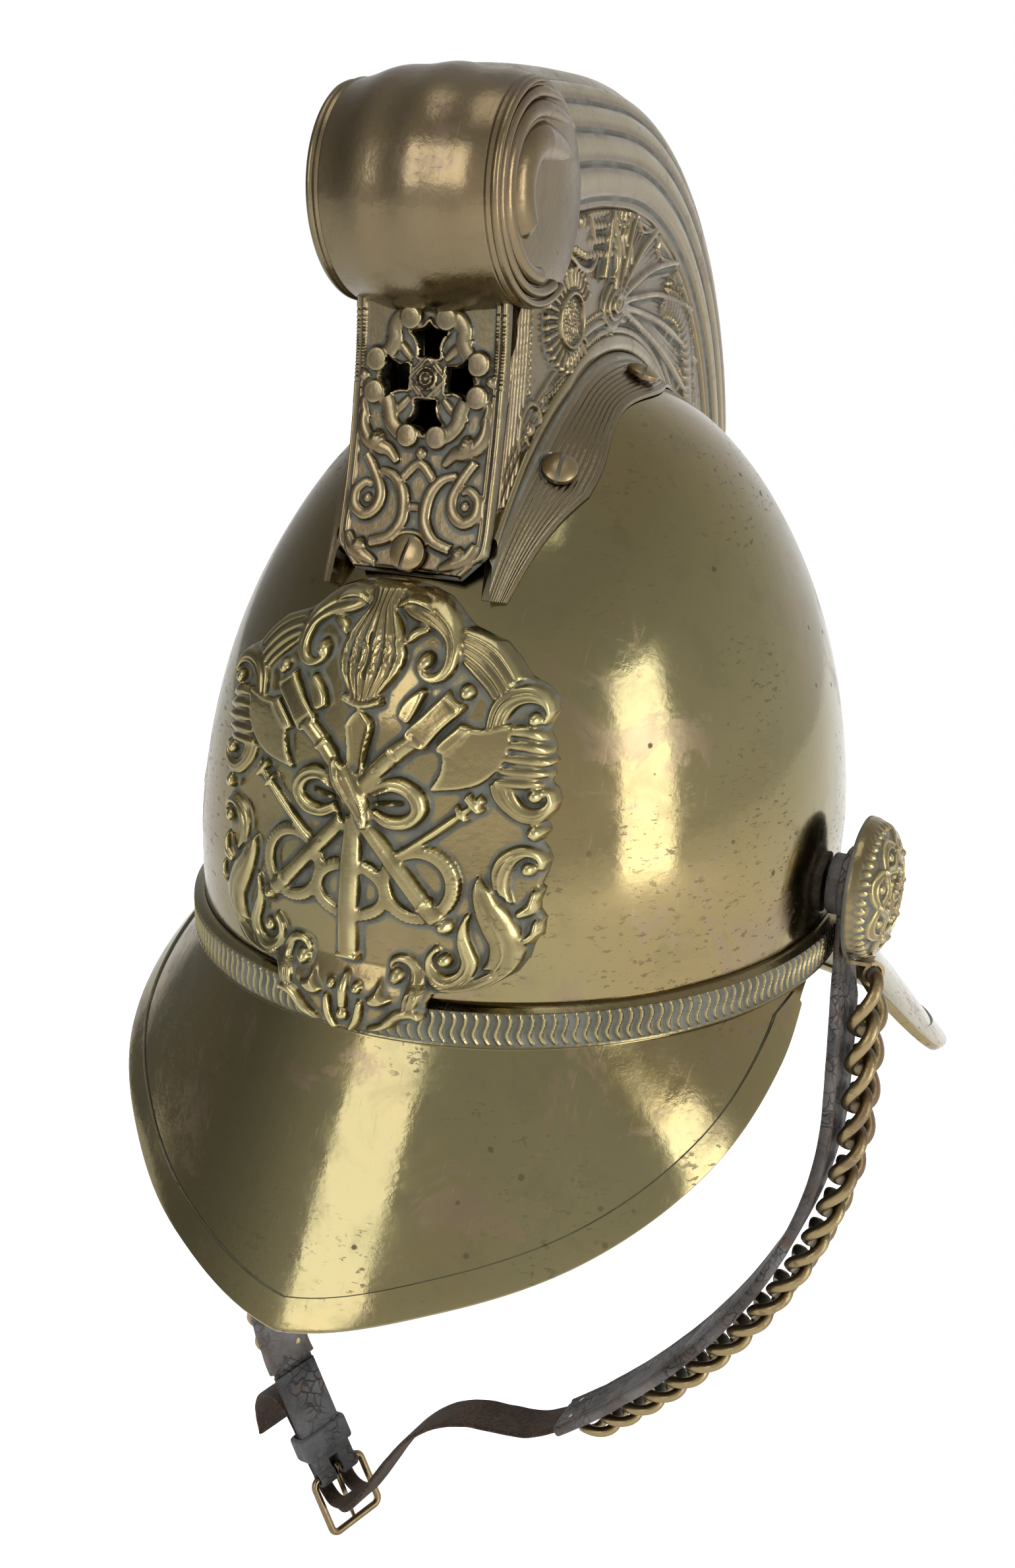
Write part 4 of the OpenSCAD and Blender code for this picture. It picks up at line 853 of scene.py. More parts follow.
# %% Peak, neck guard and their bindings
FLANGE_H, BIND_W, BIND_T = 9, 7.6, 0.7
PEAK_HALF, PEAK_REACH = 83, 72
PEAK_SHAPE, PEAK_SLOPES = [1, 0.85, 0.69, 0.465, 0.21, 0.004], [60, 61, 62, 55, 50, 50]
GUARD_REACH, GUARD_SLOPE, GUARD_START, GUARD_CORNER = 89, 50.5, 9.5, 20


def brim_out(t):
    """Level direction square to the base oval at the plan angle t."""
    p = skull_at(t, 0.0)
    return unit(np.stack([p[..., 0] / HALF_W**2, p[..., 1] / BACK**2, 0 * p[..., 2]], -1))


def brim_at(t, s, h, fall):
    """Point of a brim: s down its slope from the band's foot, h square to the slope."""
    out, up, a = brim_out(t), np.array([0, 0, 1.0]), np.radians(fall)[..., None]
    s, h, root = s[..., None], h[..., None], skull_at(t, 0.0, SEAT + BRIM_T) - [0, 0, 0.5]
    return root + s * (out * np.cos(a) - up * np.sin(a)) + h * (out * np.sin(a) + up * np.cos(a))


def peak_form(t):
    """Reach and slope of the peak at the plan angle t, each a smooth curve through a few values."""
    u = np.abs(t + 90) / PEAK_HALF
    return PEAK_REACH * smooth(PEAK_SHAPE, u), smooth(PEAK_SLOPES, u)


def guard_form(t):
    """Reach and slope of the neck guard: the reach follows the root of the sine, with rounded corners."""
    a = np.where(t > 90, 180 - t, t)
    c = np.maximum(0, GUARD_CORNER - a) / (GUARD_CORNER - GUARD_START)
    reach = GUARD_REACH * np.sqrt(np.sin(np.radians(a))) * np.sqrt(np.maximum(0, 1 - c * c))
    return np.maximum(0.3, reach), GUARD_SLOPE + 0 * t


def brim(form, angles, name, node):
    """Upper and lower sheet of a brim with a swept bend at its root, and the folded strip on its edge."""
    reach, fall = form(angles)
    t, reach, fall = angles[None, :], reach[None, :], fall[None, :]
    v = np.linspace(0, 1, 60)[:, None] ** 1.25
    droop = 0.5 * np.sin(np.pi * v) * ramp(reach, 8, 40)
    upper = brim_at(t + 0 * v, reach * v, droop + 0 * t, fall + 0 * v)
    lower = brim_at(t + 0 * v, reach * v, droop - BRIM_T + 0 * t, fall + 0 * v)
    flange = np.linspace(FLANGE_H, 0.4, 4)[:, None]
    outer = np.concatenate([skull_at(t, flange, SEAT + BRIM_T), upper])
    inner = np.concatenate([skull_at(t, flange, SEAT), lower])
    make_piece(name, shell(outer, inner), polished_brass, node)
    bound = reach[0] > (4 if "peak" in node else 14)
    t, reach, fall = t[:, bound], reach[:, bound], fall[:, bound]
    w = np.minimum(BIND_W, reach * 0.6 + 1)
    high, low = 0.12 + BIND_T, -BRIM_T - 0.12 - BIND_T
    mid, half = (high + low) / 2, (high - low) / 2
    a = np.radians(np.linspace(70, -70, 9))
    outside = [(-1, 0, 0.02), (-1, 0.03, 0.6 * high), (-1, 0.25, high), (-0.5, 0, high), (0, -0.5, high)]
    outside += [(0, 0.1 + 0.75 * math.cos(b), mid + half * math.sin(b)) for b in a]
    outside += [(0, -0.5, low), (-0.5, 0, low), (-0.54, 0, low + 0.2), (-0.55, 0, -BRIM_T - 0.03)]
    inside = [(0, 0.05, -BRIM_T - 0.03), (0, 0.05, 0.02)]
    share, more, h = (np.array(q)[:, None] for q in zip(*outside, *inside))
    s = reach + share * w + more
    cavity = np.where(share * w + more < -w + 0.1, 0.9, 0.42)
    section = brim_at(t + 0 * s, s, h + 0 * s, fall + 0 * s)
    short = node.replace("front_", "").replace("neck_", "")
    make_piece(name + " edge strip", loft(section, cavity), polished_brass, short + "_binding")


brim(peak_form, -90 + PEAK_HALF * eased(181), "peak", "front_peak")
brim(guard_form, 90 + (90 - GUARD_START) * eased(181), "rear guard", "neck_guard")

# %% [markdown]
# ## Badge
# The badge is an embossed shield, held in front by two studs: a torch, crossed axes, branch pipes and coiled hose
# tied with a ribbon, inside a frame of acanthus scrolls. Its foot laps over the band, and its upper part stands
# off the skull. The ornament is stamped in millimetres, x across and z up, and each line is mirrored.

# %% The badge's ornament
badge_relief = Relief(-48, 48, 0, 110)
r = badge_relief
# Acanthus at the top, reeded arc, corner shell
r.reeds([(5.2, 107.9), (9.5, 107.9), (13.8, 106.3), (16.8, 104), (19.5, 101.3), (21.2, 97.7), (21.5, 94.7),
    (21.1, 91.7), (19.4, 89.2), (16.7, 88.2), (14, 88.9), (12, 90.7), (11.5, 92.7)], [(2.6, 104.6), (5.4, 102.4),
    (8.4, 101), (11.2, 100.4), (13.8, 99.5), (16.3, 98), (17.6, 95.6), (18, 93), (17.3, 91.3), (16.2, 90.6),
    (15, 90.6), (14, 91.4), (13.5, 92.4)], 2, 3.3, swell=0.25, groove=0.3)
r.rib([(8, 96.2), (9.7, 98.6), (12.6, 99.8)], 3, 2.4, (0.2, 0.6))
r.rib([(3.2, 103.4), (6.5, 105.5), (10, 105.2), (13, 103.6)], 2.4, 4, (0.2, 0.3))
r.ball(13.6, 92.8, 2.2, 3.4)
r.reeds([(20.6, 100.6), (25.2, 99.4), (29.4, 97.4), (33, 94), (35.8, 90.3)], [(22, 92.6), (24, 91), (26, 89.3),
    (28.4, 87.2), (30, 85.3)], 4, 2.1, swell=0.1, groove=0.6)
r.ball(24.6, 86.9, 2.1, 2.8)
r.reeds([(29.4, 79), (30, 84.3), (32, 87.3), (35, 88.7), (38.3, 88.8), (41.3, 87.3), (43, 84.7), (43.3, 82),
    (42, 79.9)], [(33.6, 78.6), (34.4, 81.6), (35.6, 83.6), (37.2, 84.6), (39, 84.8), (40.6, 84.3), (41.6, 83.2),
    (41.9, 82), (41.5, 81)], 3, 2.4, swell=0.15, groove=0.5)
r.ball(40.1, 81.6, 1.9, 3)
# Pleated leaf and side scroll
for a, b, c in (((34.6, 78.6), (39, 78.6), (42.6, 76.9)), ((34.4, 75.6), (39, 75.4), (43.6, 73.9)),
        ((33.8, 72.6), (39, 72.2), (44.6, 71.4)), ((33.4, 69.6), (38.5, 69.3), (43.6, 68.8)),
        ((32.4, 66.9), (38, 66.7), (42.8, 66.4))):
    r.rib([a, b, c], 3.4, 2.3, (0.5, 0.2))
r.reeds([(31.3, 66.3), (32.4, 63), (34.9, 60), (38.4, 57.4), (42.1, 56.9), (44.8, 58.7), (45.7, 61.6), (44.9, 64.4),
    (43, 65.6)], [(36.6, 67.2), (37.3, 64.4), (38.6, 62.2), (40.2, 61.1), (41.8, 61), (43, 61.7), (43.6, 62.8),
    (43.5, 64), (42.8, 64.8)], 4, 2.3, swell=0.15, groove=0.55)
r.ball(41.6, 63.8, 2, 3)
r.ball(42.1, 55, 2.3, 3)
# Small C scroll, great leaf with its side lobes, lower C scroll
r.reeds([(33.6, 42), (33.2, 46), (34.3, 49), (37, 51.2), (40.3, 51.8), (43.3, 50.4), (44.7, 48), (44, 45.6)],
    [(38.4, 37.6), (37.3, 41.4), (37.4, 44.4), (38.2, 46.8), (39.6, 48.4), (41.2, 49), (42.5, 48.5), (43, 47.2)], 3,
    2.4, swell=0.2, groove=0.5)
r.ball(41.4, 46.4, 2, 3)
r.reeds([(30.5, 44), (34, 41.2), (35.9, 38.4), (38, 36), (39.6, 33.6), (41, 30.5), (41.7, 26.7), (40.4, 22.6)],
    [(30.4, 43.6), (29.6, 41), (30, 37.3), (31.3, 33.3), (33, 29.3), (33.9, 27), (33.6, 23.6), (32, 21)], 2, 3.2,
    swell=0.3, groove=0.28)
r.rib([(31, 42.4), (33.4, 37), (36.6, 31), (37.6, 25.6), (35.4, 20.6)], 1, 3.6, (0.3, 0.5))
r.reeds([(41.9, 27.5), (40.6, 22.7), (38, 19.5), (34, 16.9), (29.5, 15.3), (25.6, 14.9)], [(37.4, 26), (36.2, 23.2),
    (34.4, 21.2), (32, 19.7), (29, 18.5), (26, 18)], 3, 2.2, swell=0.2)
r.rib([(39.4, 35), (42.6, 37.2), (42.9, 41)], 3.2, 2.3, (0.5, 0.3))
r.rib([(40.8, 28.4), (43.6, 30.4), (43.6, 33.8)], 3, 2.2, (0.5, 0.3))
r.reeds([(29.6, 35.2), (29.1, 32.7), (29.4, 29.3), (30.6, 26), (31.7, 22.7), (30.7, 19), (28, 16.4), (24.7, 15.6),
    (21.4, 17), (19.4, 20), (19.8, 23.9), (22, 26.5)], [(28.4, 34.4), (27, 31.4), (26.7, 28.2), (27.2, 25.4),
    (27.8, 22.9), (27, 20.8), (25.7, 19.8), (24.2, 19.6), (22.7, 20.4), (21.6, 22), (21.8, 23.9), (23, 25.3)], 3,
    2.5, swell=0.2, groove=0.5)
r.ball(24.2, 23, 2, 3)
# Foot: scroll, leaves and seeds, lapping over the band
r.reeds([(10.6, 19.2), (11.2, 22), (14, 23.4), (17, 22.7), (19.4, 19.7), (20, 16), (19.4, 12.7), (18.4, 10)],
    [(12.2, 20.3), (12.9, 21.1), (14.2, 21.2), (15.6, 20.2), (16.2, 18), (16, 15.4), (15.4, 12.8), (15.2, 10)], 3,
    2.3, swell=0.15, groove=0.5)
r.ball(13, 18.2, 2.3, 3)
r.plate([(5.4, 11.6), (8, 14.3), (9.2, 17.4), (10.4, 14.4), (13, 12.2), (10.6, 9.8), (7.4, 9.6)], 2.2, 1.4)
r.rib([(7, 3.8), (11, 5.4), (14.6, 8.8), (18, 9.6), (20.4, 8)], 3.4, 2.6, (0.3, 0.3))
r.rib([(1.9, 2.4), (3.9, 6), (4.7, 10.8)], 2.6, 2.4, (0.4, 0.6))
r.ball(0, 6.6, 2, 2.6, both=False)
r.rib([(0, 8.5), (0, 12.5), (0, 17)], 3, 2.4, (0.8, 0.2), both=False)
r.ball(3.4, 13.8, 1.4, 2)
# Hose: three coils with beaded edges, then the branch pipes over them
for cx, cz, rx, rz in ((17.0, 41.0, 8.2, 8.0), (0, 37.6, 9.4, 6.2)):
    r.rib(ellipse(cx, cz, rx, rz, closed_turn(25)), 3.4, 2, both=cx > 0, flat=0.35)
    for grow in (-1.25, 1.25):
        for x, z in ellipse(cx, cz, rx + grow, rz + grow, full_turn(46)):
            r.ball(x, z, 0.45, 0.6, both=cx > 0, base=1.45)
r.rib([(30.6, 62.8), (21, 54.6), (10.4, 46.4)], 2.4, 2.4)
r.rib([(27, 63.4), (30.4, 59.6)], 2.2, 3)
r.rib([(24.8, 60.6), (27.4, 57.4)], 1.4, 2.8)
r.rib([(0, 56), (0, 40), (0, 21.4)], 5.4, 1.5, (0.7, 1), both=False, base=1.9)
r.rib([(-3.1, 21.2), (3.1, 21.2)], 2.2, 3.6, both=False)
r.rib([(2.6, 54.6), (11, 45.6), (19.4, 36.2), (22.6, 33)], 4, 1.1, base=1.9)
r.rib([(17.6, 35.2), (20.8, 38)], 1.8, 3.3)
r.ball(24, 31.7, 2.6, 3.4)
# Axes, torch and ribbon
r.rib([(15, 76), (9.7, 71.7), (2, 63.4)], 4.4, 1.5, base=1.7)
r.rib([(8.2, 73.2), (11.2, 70.2)], 1.8, 3.5)
r.plate([(24.8, 79.3), (28.6, 79), (32, 79.2), (35.4, 80.6), (35.8, 76.7), (35.4, 73.4), (34.3, 70.5), (32.4, 68),
    (29.6, 65.8), (26.2, 64.5), (22, 63.8), (18.4, 63.6), (20.4, 67), (21.2, 70.6), (21, 73.2), (22.6, 76.4)], 1.9,
    0.5)
r.rib([(18.9, 64.2), (20.9, 67.6), (21.5, 71.2), (21, 74)], 1.3, 2.4)
r.rib([(25, 78.9), (29.5, 78.7), (34.8, 80)], 1, 2.3)
r.plate([(24.3, 80.2), (27.2, 78.6), (22, 72.6), (19, 74.4)], 2.6, 0.5)
r.plate([(9, 80.2), (9.7, 83), (11.7, 85.7), (14.3, 87.3), (15.6, 85.7), (12.9, 78.8)], 2.6, 0.7)
r.plate([(20.4, 87.3), (22.9, 85.5), (25.2, 83.4), (20.8, 78.2), (16.6, 73.1), (13.9, 75), (11.6, 77.2),
    (16, 82.2)], 3.2, 0.5, dish=0.5)
for q in np.linspace(0.12, 0.88, 12):
    a, b = np.array([13.2, 77.3]) + q * np.array([7.6, 8.7]), np.array([16.6, 74.7]) + q * np.array([7.4, 8.5])
    r.rib([a, b], 0.42, 0.45, base=2.75)
r.reeds([(-2.6, 82.4), (-5.4, 86), (-7.8, 89.5), (-8.6, 93), (-7.6, 97), (-5.2, 101), (-3.4, 104), (-3.9, 106.4),
    (-5.6, 108.6)], [(2.6, 82.4), (5.4, 86), (7.8, 89.5), (8.6, 93), (7.6, 97), (5.2, 101), (3.4, 104),
    (3.9, 106.4), (5.6, 108.6)], 6, 4.3, both=False, swell=0.35, groove=0.42)
r.rib([(-5.2, 83.4), (0, 82), (5.2, 83.4)], 2.2, 3.6, both=False)
r.plate([(-3.9, 77.4), (-2.2, 80), (0, 81.6), (2.2, 80), (3.9, 77.4), (2.9, 71.6), (2.1, 65.8), (-2.1, 65.8),
    (-2.9, 71.6)], 3.1, 0.6, both=False, dish=1.1)
r.reeds([(2.5, 62.4), (7, 65.6), (12.6, 66), (17.2, 63), (18.2, 58.4), (14.6, 54.2), (8.8, 53.6), (4, 56)],
    [(5, 61), (8.6, 62.4), (12, 62), (13.8, 60.6), (14, 58.8), (12, 57.4), (8.8, 57.2), (5.6, 58.4)], 2, 3.2,
    swell=0.2, groove=0.35)
for a, b in (((5, 61.2), (10.4, 63.9)), ((5.4, 59.4), (12, 60)), ((5, 58), (10.4, 55.4))):
    r.rib([a, b], 1, 3.4, (0.8, 0.2))
r.rib([(-6.2, 68.4), (-3.4, 64.6), (0.4, 60.2), (3.8, 53.8)], 7.6, 4.4, (0.35, 0.35), both=False, flat=0.3)
r.rib([(-5.2, 68.8), (-4.4, 65), (-1.6, 61), (1.4, 57.4), (3.6, 53.8)], 1.2, 5, both=False)
r.rib([(-5.2, 68.8), (-1.6, 66.2), (1.6, 61.4), (3.6, 57.4), (4, 53.8)], 1.2, 5, both=False)
r.finish(smoothing=0.3, reach=1.3, depth=1.1)
print("badge relief up to", round(float(r.height.max()), 2), "mm")

# %% The badge itself
BADGE_T, BADGE_FOOT, BADGE_H, BADGE_LIFT = 1.6, 1.5, 107, 5.5
STAND = [0, 0, 0, 0, 0, 0.05, 0.27, 0.58, 0.91, 1, 0.87, 0.73]


def badge_lift(z):
    """Stand off of the badge's back: over the band at its foot, off the dome at its top."""
    over = (BAND_OFF + BAND_T + 0.5) * (1 - ramp(z, BAND_H + 0.8, BAND_H + 8.8))
    return np.maximum(BADGE_LIFT * smooth(STAND, (z - BADGE_FOOT) / BADGE_H), over)


outline_z = [1.5, 2.6, 4.0, 6, 8, 10, 12, 14.4, 15.4, 17, 20, 24, 27, 28, 30.5, 34, 36, 38, 41, 42, 45, 48, 50.5,
    52.2, 53.5, 55, 57.2, 60, 62, 65, 66.4, 68, 70.2, 71.4, 72.8, 74.6, 76.9, 78.6, 80.4, 83, 86, 88.2, 90.3, 94,
    97.4, 100.4, 102, 104.2, 106.3, 107.9, 108.5]
outline_w = [1.5, 4.4, 9.4, 16.0, 20.4, 20.2, 20.6, 22, 26, 34.4, 39.4, 41.9, 42.6, 43, 44.6, 44.8, 43.6, 43.4,
    44.3, 43.4, 44.4, 45, 44, 42.8, 43.4, 44.4, 43.4, 45.6, 46, 45, 43.6, 44.3, 43.8, 44.8, 43.9, 44, 43.2, 42.2,
    42.6, 43.6, 42.8, 40.6, 36.6, 33.4, 29.6, 21.6, 19.4, 17, 14.2, 9.6, 6]
rows = np.linspace(BADGE_FOOT, BADGE_FOOT + BADGE_H, 322)[:, None]
half_width = np.interp(rows, outline_z, outline_w)
share = np.linspace(-1, 1, 278)[None, :]
share = np.sin(share * np.pi / 2) * 0.12 + share * 0.88
x = half_width * share
z = rows + 0 * x
border = np.minimum((1 - np.abs(share)) * half_width, np.minimum(z - BADGE_FOOT, BADGE_FOOT + BADGE_H - z) * 0.8)
rounding = edge_round(border / 0.9)
off = SEAT + badge_lift(z) + (BADGE_T + badge_relief.at(x, z)) * (0.3 + 0.7 * rounding)
cavity = badge_relief.at(x, z, badge_relief.cavity)


def badge_back(edge, s):
    """Ring of the badge's back: its edge drawn in to the share s, on the surface that the badge stands off to."""
    z = 58 + (edge[:, 2] - 58) * s
    return on_skull(edge[:, 0] * s, z, SEAT + badge_lift(z))


make_piece("badge shield", lidded(on_skull(x, z, off), badge_back, cavity), relief_brass, "badge", crease=60)

# %% [markdown]
# ## Comb
# The comb is two pressed halves with the same section: a ribbed crest, a dragon panel between two borders, a
# round moulding, and a skirt that lies on the skull and is screwed to it. Each row of the grid below is one line
# of that section, and each column is one angle round the comb's centre. Both halves start at the front plate.

# %% Comb section
COMB_FRONT, COMB_TAIL, COMB_WALL, CREST_RIB = 168, -24, 1.0, 1.3
ROLL_Y, ROLL_Z, ROLL_MID, ROLL_HOLD = -56, 196.5, 28.5, 22
PLATE_BEND, PLATE_T, PLATE_Y, PLATE_Z = 205, 1.5, -269.2, 176
SCREW_DEG, SCREW_OUT = np.array([143.3, 98, 54]), np.array([5.6, 8.6, 7.4])


def comb_half_w(g):
    """Half the panel's width at the angle g: it falls steadily behind 125 degrees."""
    return 20.5 - 0.115 * np.maximum(0, 125 - g)


def comb_at(x, r, g):
    """Point in the plane x, at radius r and angle g round the comb's centre."""
    a = np.radians(g)
    return xyz(x, COMB_Y + r * np.cos(a), COMB_Z + r * np.sin(a))


def moulding_at(g):
    """Radius of the round moulding: a little outside the skull."""
    return skull_radius(comb_half_w(g), g) + 5


def ridge_at(g):
    """Radius of the comb's ridge: it rises with a square towards the front and falls with one at the tail."""
    free = 143 + 0.0175 * np.maximum(0, g - 90) ** 2 - 30 * (np.maximum(0, 20 - g) / 44) ** 2
    return np.maximum(moulding_at(g) + 10, free)


def border_at(g):
    """Radius of the panel's upper border, always clear of the ridge."""
    low = moulding_at(g)
    return np.minimum(114.5 + 0.45 * np.maximum(0, g - 93), low + 0.55 * (ridge_at(g) - low))


def upper_deg(g):
    """Angle of the panel's head for the angle g of its foot: the section leans over towards the front."""
    return g - 44 * (np.maximum(0, g - 90) / 78) ** 1.6


def skirt_at(g):
    """Width of the skirt: drawn in at both ends, and waved so that it is widest at the screws."""
    ahead = COMB_FRONT - g
    wide = 13 * (0.35 + 0.65 * np.minimum(1, ahead / 22)) * np.minimum(1, 0.35 + (g - COMB_TAIL) / 60)
    return wide + 1.6 * np.cos(np.radians(360 * (g - SCREW_DEG[1]) / 45)) * np.minimum(1, ahead / 30)


def plate_cut(z):
    """Depth of the front plate's back at height z."""
    return PLATE_Y + np.sqrt((PLATE_BEND + PLATE_T + SEAT) ** 2 - (z - PLATE_Z) ** 2)


def from_plate(grid):
    """Starts each row at the front plate's back: columns are spread again from the place where the row meets it."""
    clear = grid[..., 1] > plate_cut(grid[..., 2])
    rows, n = clear.shape
    row = np.arange(rows)
    blocked = np.where(clear.all(1), 0, n - 1 - np.argmax(~clear[:, ::-1], 1))
    after = np.minimum(blocked + 1, n - 1)
    gap = grid[..., 1] - plate_cut(grid[..., 2])
    part = np.where(clear.all(1), 0, gap[row, blocked] / (gap[row, blocked] - gap[row, after] - 1e-9))
    place = (blocked + part)[:, None] + (n - 1 - blocked - part)[:, None] * np.linspace(0, 1, n)
    i = np.minimum(np.floor(place).astype(int), n - 2)
    f = (place - i)[..., None]
    return grid[row[:, None], i] * (1 - f) + grid[row[:, None], i + 1] * f


def under_roll(grid):
    """Draws what would stand above or ahead of the roll into the roll."""
    y, z = grid[..., 1] - ROLL_Y, grid[..., 2] - ROLL_Z
    far = np.hypot(y, z)
    inward = np.where((y < 0) & (z > 0), np.minimum(1, ROLL_HOLD / np.maximum(far, 1)), 1)
    return np.stack([grid[..., 0], ROLL_Y + y * inward, ROLL_Z + z * inward], -1)


def section_frame(g):
    """Foot and head of the panel, the way up it, and the rise from its head to the ridge, at each angle."""
    upper = upper_deg(g)
    foot, head = comb_at(0, moulding_at(g), g), comb_at(0, border_at(upper), upper)
    span = np.linalg.norm(head - foot, axis=-1, keepdims=True)
    up = (head - foot) / span * np.minimum(1, span / 14)
    return foot, head, up, comb_at(0, ridge_at(upper) - 0.15, upper) - head


def across(x, g, h):
    """Points of the skirt at distance x from the middle and height h over the skull."""
    return comb_at(x, skull_radius(x, g) + h, g)


X_AXIS = np.array([1.0, 0, 0])
stations = np.concatenate([np.linspace(COMB_FRONT, 62, 330), np.linspace(62, COMB_TAIL, 101)[1:]])[None, :]
half = comb_half_w(stations)
foot, head, up, rise = section_frame(stations)
tall = np.linalg.norm(rise, axis=-1)
angle = np.concatenate([np.linspace(90, 64, 8), np.linspace(62, 0, 61)])[:, None]
bump = CREST_RIB * np.abs(np.sin(np.radians(angle * 180 / 15.5))) ** 0.8 * np.minimum(1, tall / 20) * (angle <= 62)
crest_x = (half + bump) * np.cos(np.radians(angle)) + 0.1
crest = head + rise * (np.sin(np.radians(angle)) * (1 + bump / tall))[..., None] + X_AXIS * crest_x[..., None]
crest_cavity = np.clip(0.95 - 0.8 * bump / CREST_RIB, 0, 1) * (angle <= 62) + 0.3 * (angle > 62)


def rows_of(*items):
    """Stacks lines of the section: each item gives x, a base point and how far up from it."""
    return np.concatenate([b + X_AXIS * np.broadcast_to(x, half.shape)[..., None] + u * up for x, b, u in items])


def web(x, n=12):
    """Rows of the flat wall behind the panel, from its head down to its foot."""
    return [(x, head + (foot - head) * q, -2.5 + 6.5 * q) for q in np.linspace(0, 1, n)]


border = rows_of((half + 0.1, head, -0.6), (half + 0.1, head, -1.5), (half - 0.2, head, -2.1), *web(half - 1.2))
arc = np.linspace(0, np.pi, 12)
bead = rows_of(*[(half - 0.5 + 1.7 * math.sin(b) ** 0.7 + 0.1 * k / 12, foot, 4.2 - 4.4 * (1 - math.cos(b)) / 2)
    for k, b in enumerate(arc)])
share = np.linspace(0.09, 1, 60)[:, None]
cove = smooth([4.8, 3.1, 2.5, 2.1, 1.8, 1.55, 1.45, 1.35, 1.3], (share - 0.09) / 0.91)
ribs = 0.26 * np.abs(np.sin(np.pi * share * 11)) * ramp(share, 0.1, 0.2) * ramp(share, 0.97, 0.9)
skirt_x = half + skirt_at(stations) * share
skirt = across(skirt_x, stations, cove + ribs - 0.2)
wall_x = half - 0.5 - COMB_WALL
under = [across(half + skirt_at(stations) * s, stations, SEAT) for s in (1, 0.6, 0.3)]
under = np.concatenate(under + [across(wall_x, stations, SEAT)])
inside = rows_of(*web(wall_x)[::-1])
tip = COMB_WALL * rise / tall[..., None]
lining = [head + (rise - tip) * math.sin(b) + X_AXIS * ((half - COMB_WALL) * math.cos(b))[..., None]
    for b in np.radians([0, 25, 50, 70])]
lining.append(head + rise - tip + X_AXIS * 0.1)
body = np.concatenate([crest, border, bead, skirt, under, inside] + lining)
plain = np.full((len(body), body.shape[1]), 0.6)
plain[:len(crest)] = crest_cavity
bead_row, skirt_row, under_row = np.cumsum([len(crest) + len(border), len(bead), len(skirt)])
plain[len(crest):bead_row] = 0.45
plain[bead_row:skirt_row] = 0.3
plain[skirt_row:under_row] = np.clip(0.68 - ribs / 0.26 * 0.3 - 0.4 * ramp(share, 0.965, 0.985), 0, 1)
body = under_roll(from_plate(body))


def level(p):
    """How far out a point lies: 1 on the skull."""
    k = np.maximum(oval_scale(p[..., 2]), 1e-4)
    y = p[..., 1] - lean_at(p[..., 2])
    return (p[..., 0] / HALF_W / k) ** 2 + (y / np.where(y < 0, FRONT, BACK) / k) ** 2


def skull_normal(p):
    """Direction out of the skull at a point: the slope of level()."""
    return unit(np.stack([level(p + e) - level(p - e) for e in 0.2 * np.eye(3)], -1))


screw_x = comb_half_w(SCREW_DEG) + SCREW_OUT
screw_points = comb_at(screw_x, skull_radius(screw_x, SCREW_DEG), SCREW_DEG)
screw_normals = skull_normal(screw_points)
for p, n in zip(screw_points, screw_normals):
    high = (body - p) @ n
    aside = np.linalg.norm(body - p - high[..., None] * n, axis=-1)
    sunk = np.maximum(0, high - (SEAT + 1.7)) * ramp(aside, 5.4, 4.8) * (high < 12)
    body -= sunk[..., None] * n
    plain = np.where(sunk > 0.05, 0.8, plain)
half_comb = loft(body, plain, start=[13, -46, 94])
make_piece("comb left body", half_comb, comb_brass, "comb_left", crease=50)
make_piece("comb right body", mirrored(half_comb), comb_brass, "comb_right", crease=50)

# %% [markdown]
# ### The dragon panel
# The panel's relief is stamped in side view, y across and z up. In front stand the reeds along the plate, a
# row of beads and a ringed shield. Behind them come the dragon's head, feathers and horn, its ribbed wing, and
# the scaly coil of its tail, which runs on to the tail of the comb.

# %% Dragon panel
panel_relief = Relief(-78, 128, 50, 232, cell=0.22, both=False)
r = panel_relief
SHIELD = np.array([-28, 168])


def polar(rho, g):
    """Point (y, z) at radius rho and angle g round the comb's centre."""
    return ellipse(COMB_Y, COMB_Z, rho, rho, np.radians(g))


run_g = np.linspace(166, -22, 60)
for lift, wide in ((5.6, 2.3), (8.4, 2.3)):
    r.rib(polar(moulding_at(run_g) + lift, run_g), wide, 0.9)
r.rib(polar(border_at(run_g) - 3.9, run_g), 1.5, 0.9)
bead_g = np.linspace(120, -20, 118)
for p in polar(moulding_at(bead_g) + 10.9, bead_g):
    r.ball(*p, 0.75, 0.8)
z = np.linspace(126, 202, 9)
for i in range(5):
    r.rib(np.stack([plate_cut(z) + 1.2 + 1.75 * i, z], -1), 1.65, 0.9)
for z in np.arange(152, 181, 1.9):
    r.ball(-52.8, z, 0.9, 1.1)
# Curl with its ball, and the leaf fan above
turn = np.linspace(np.radians(215), np.radians(-170), 24)
size = np.linspace(7.6, 3.0, 24)
r.rib(ellipse(-51.5, 143, size, size, turn), 2.3, 1.6, (0.6, 0.5))
r.ball(-52, 143, 2.2, 2)
for tip in ((-53, 193), (-55.5, 188), (-55, 182.5)):
    r.rib([(-44.5, 183.5), ((-46 + tip[0]) / 2, (183.5 + tip[1]) / 2 + 0.6), tip], 3.6, 1.8, (0.4, 0.3))
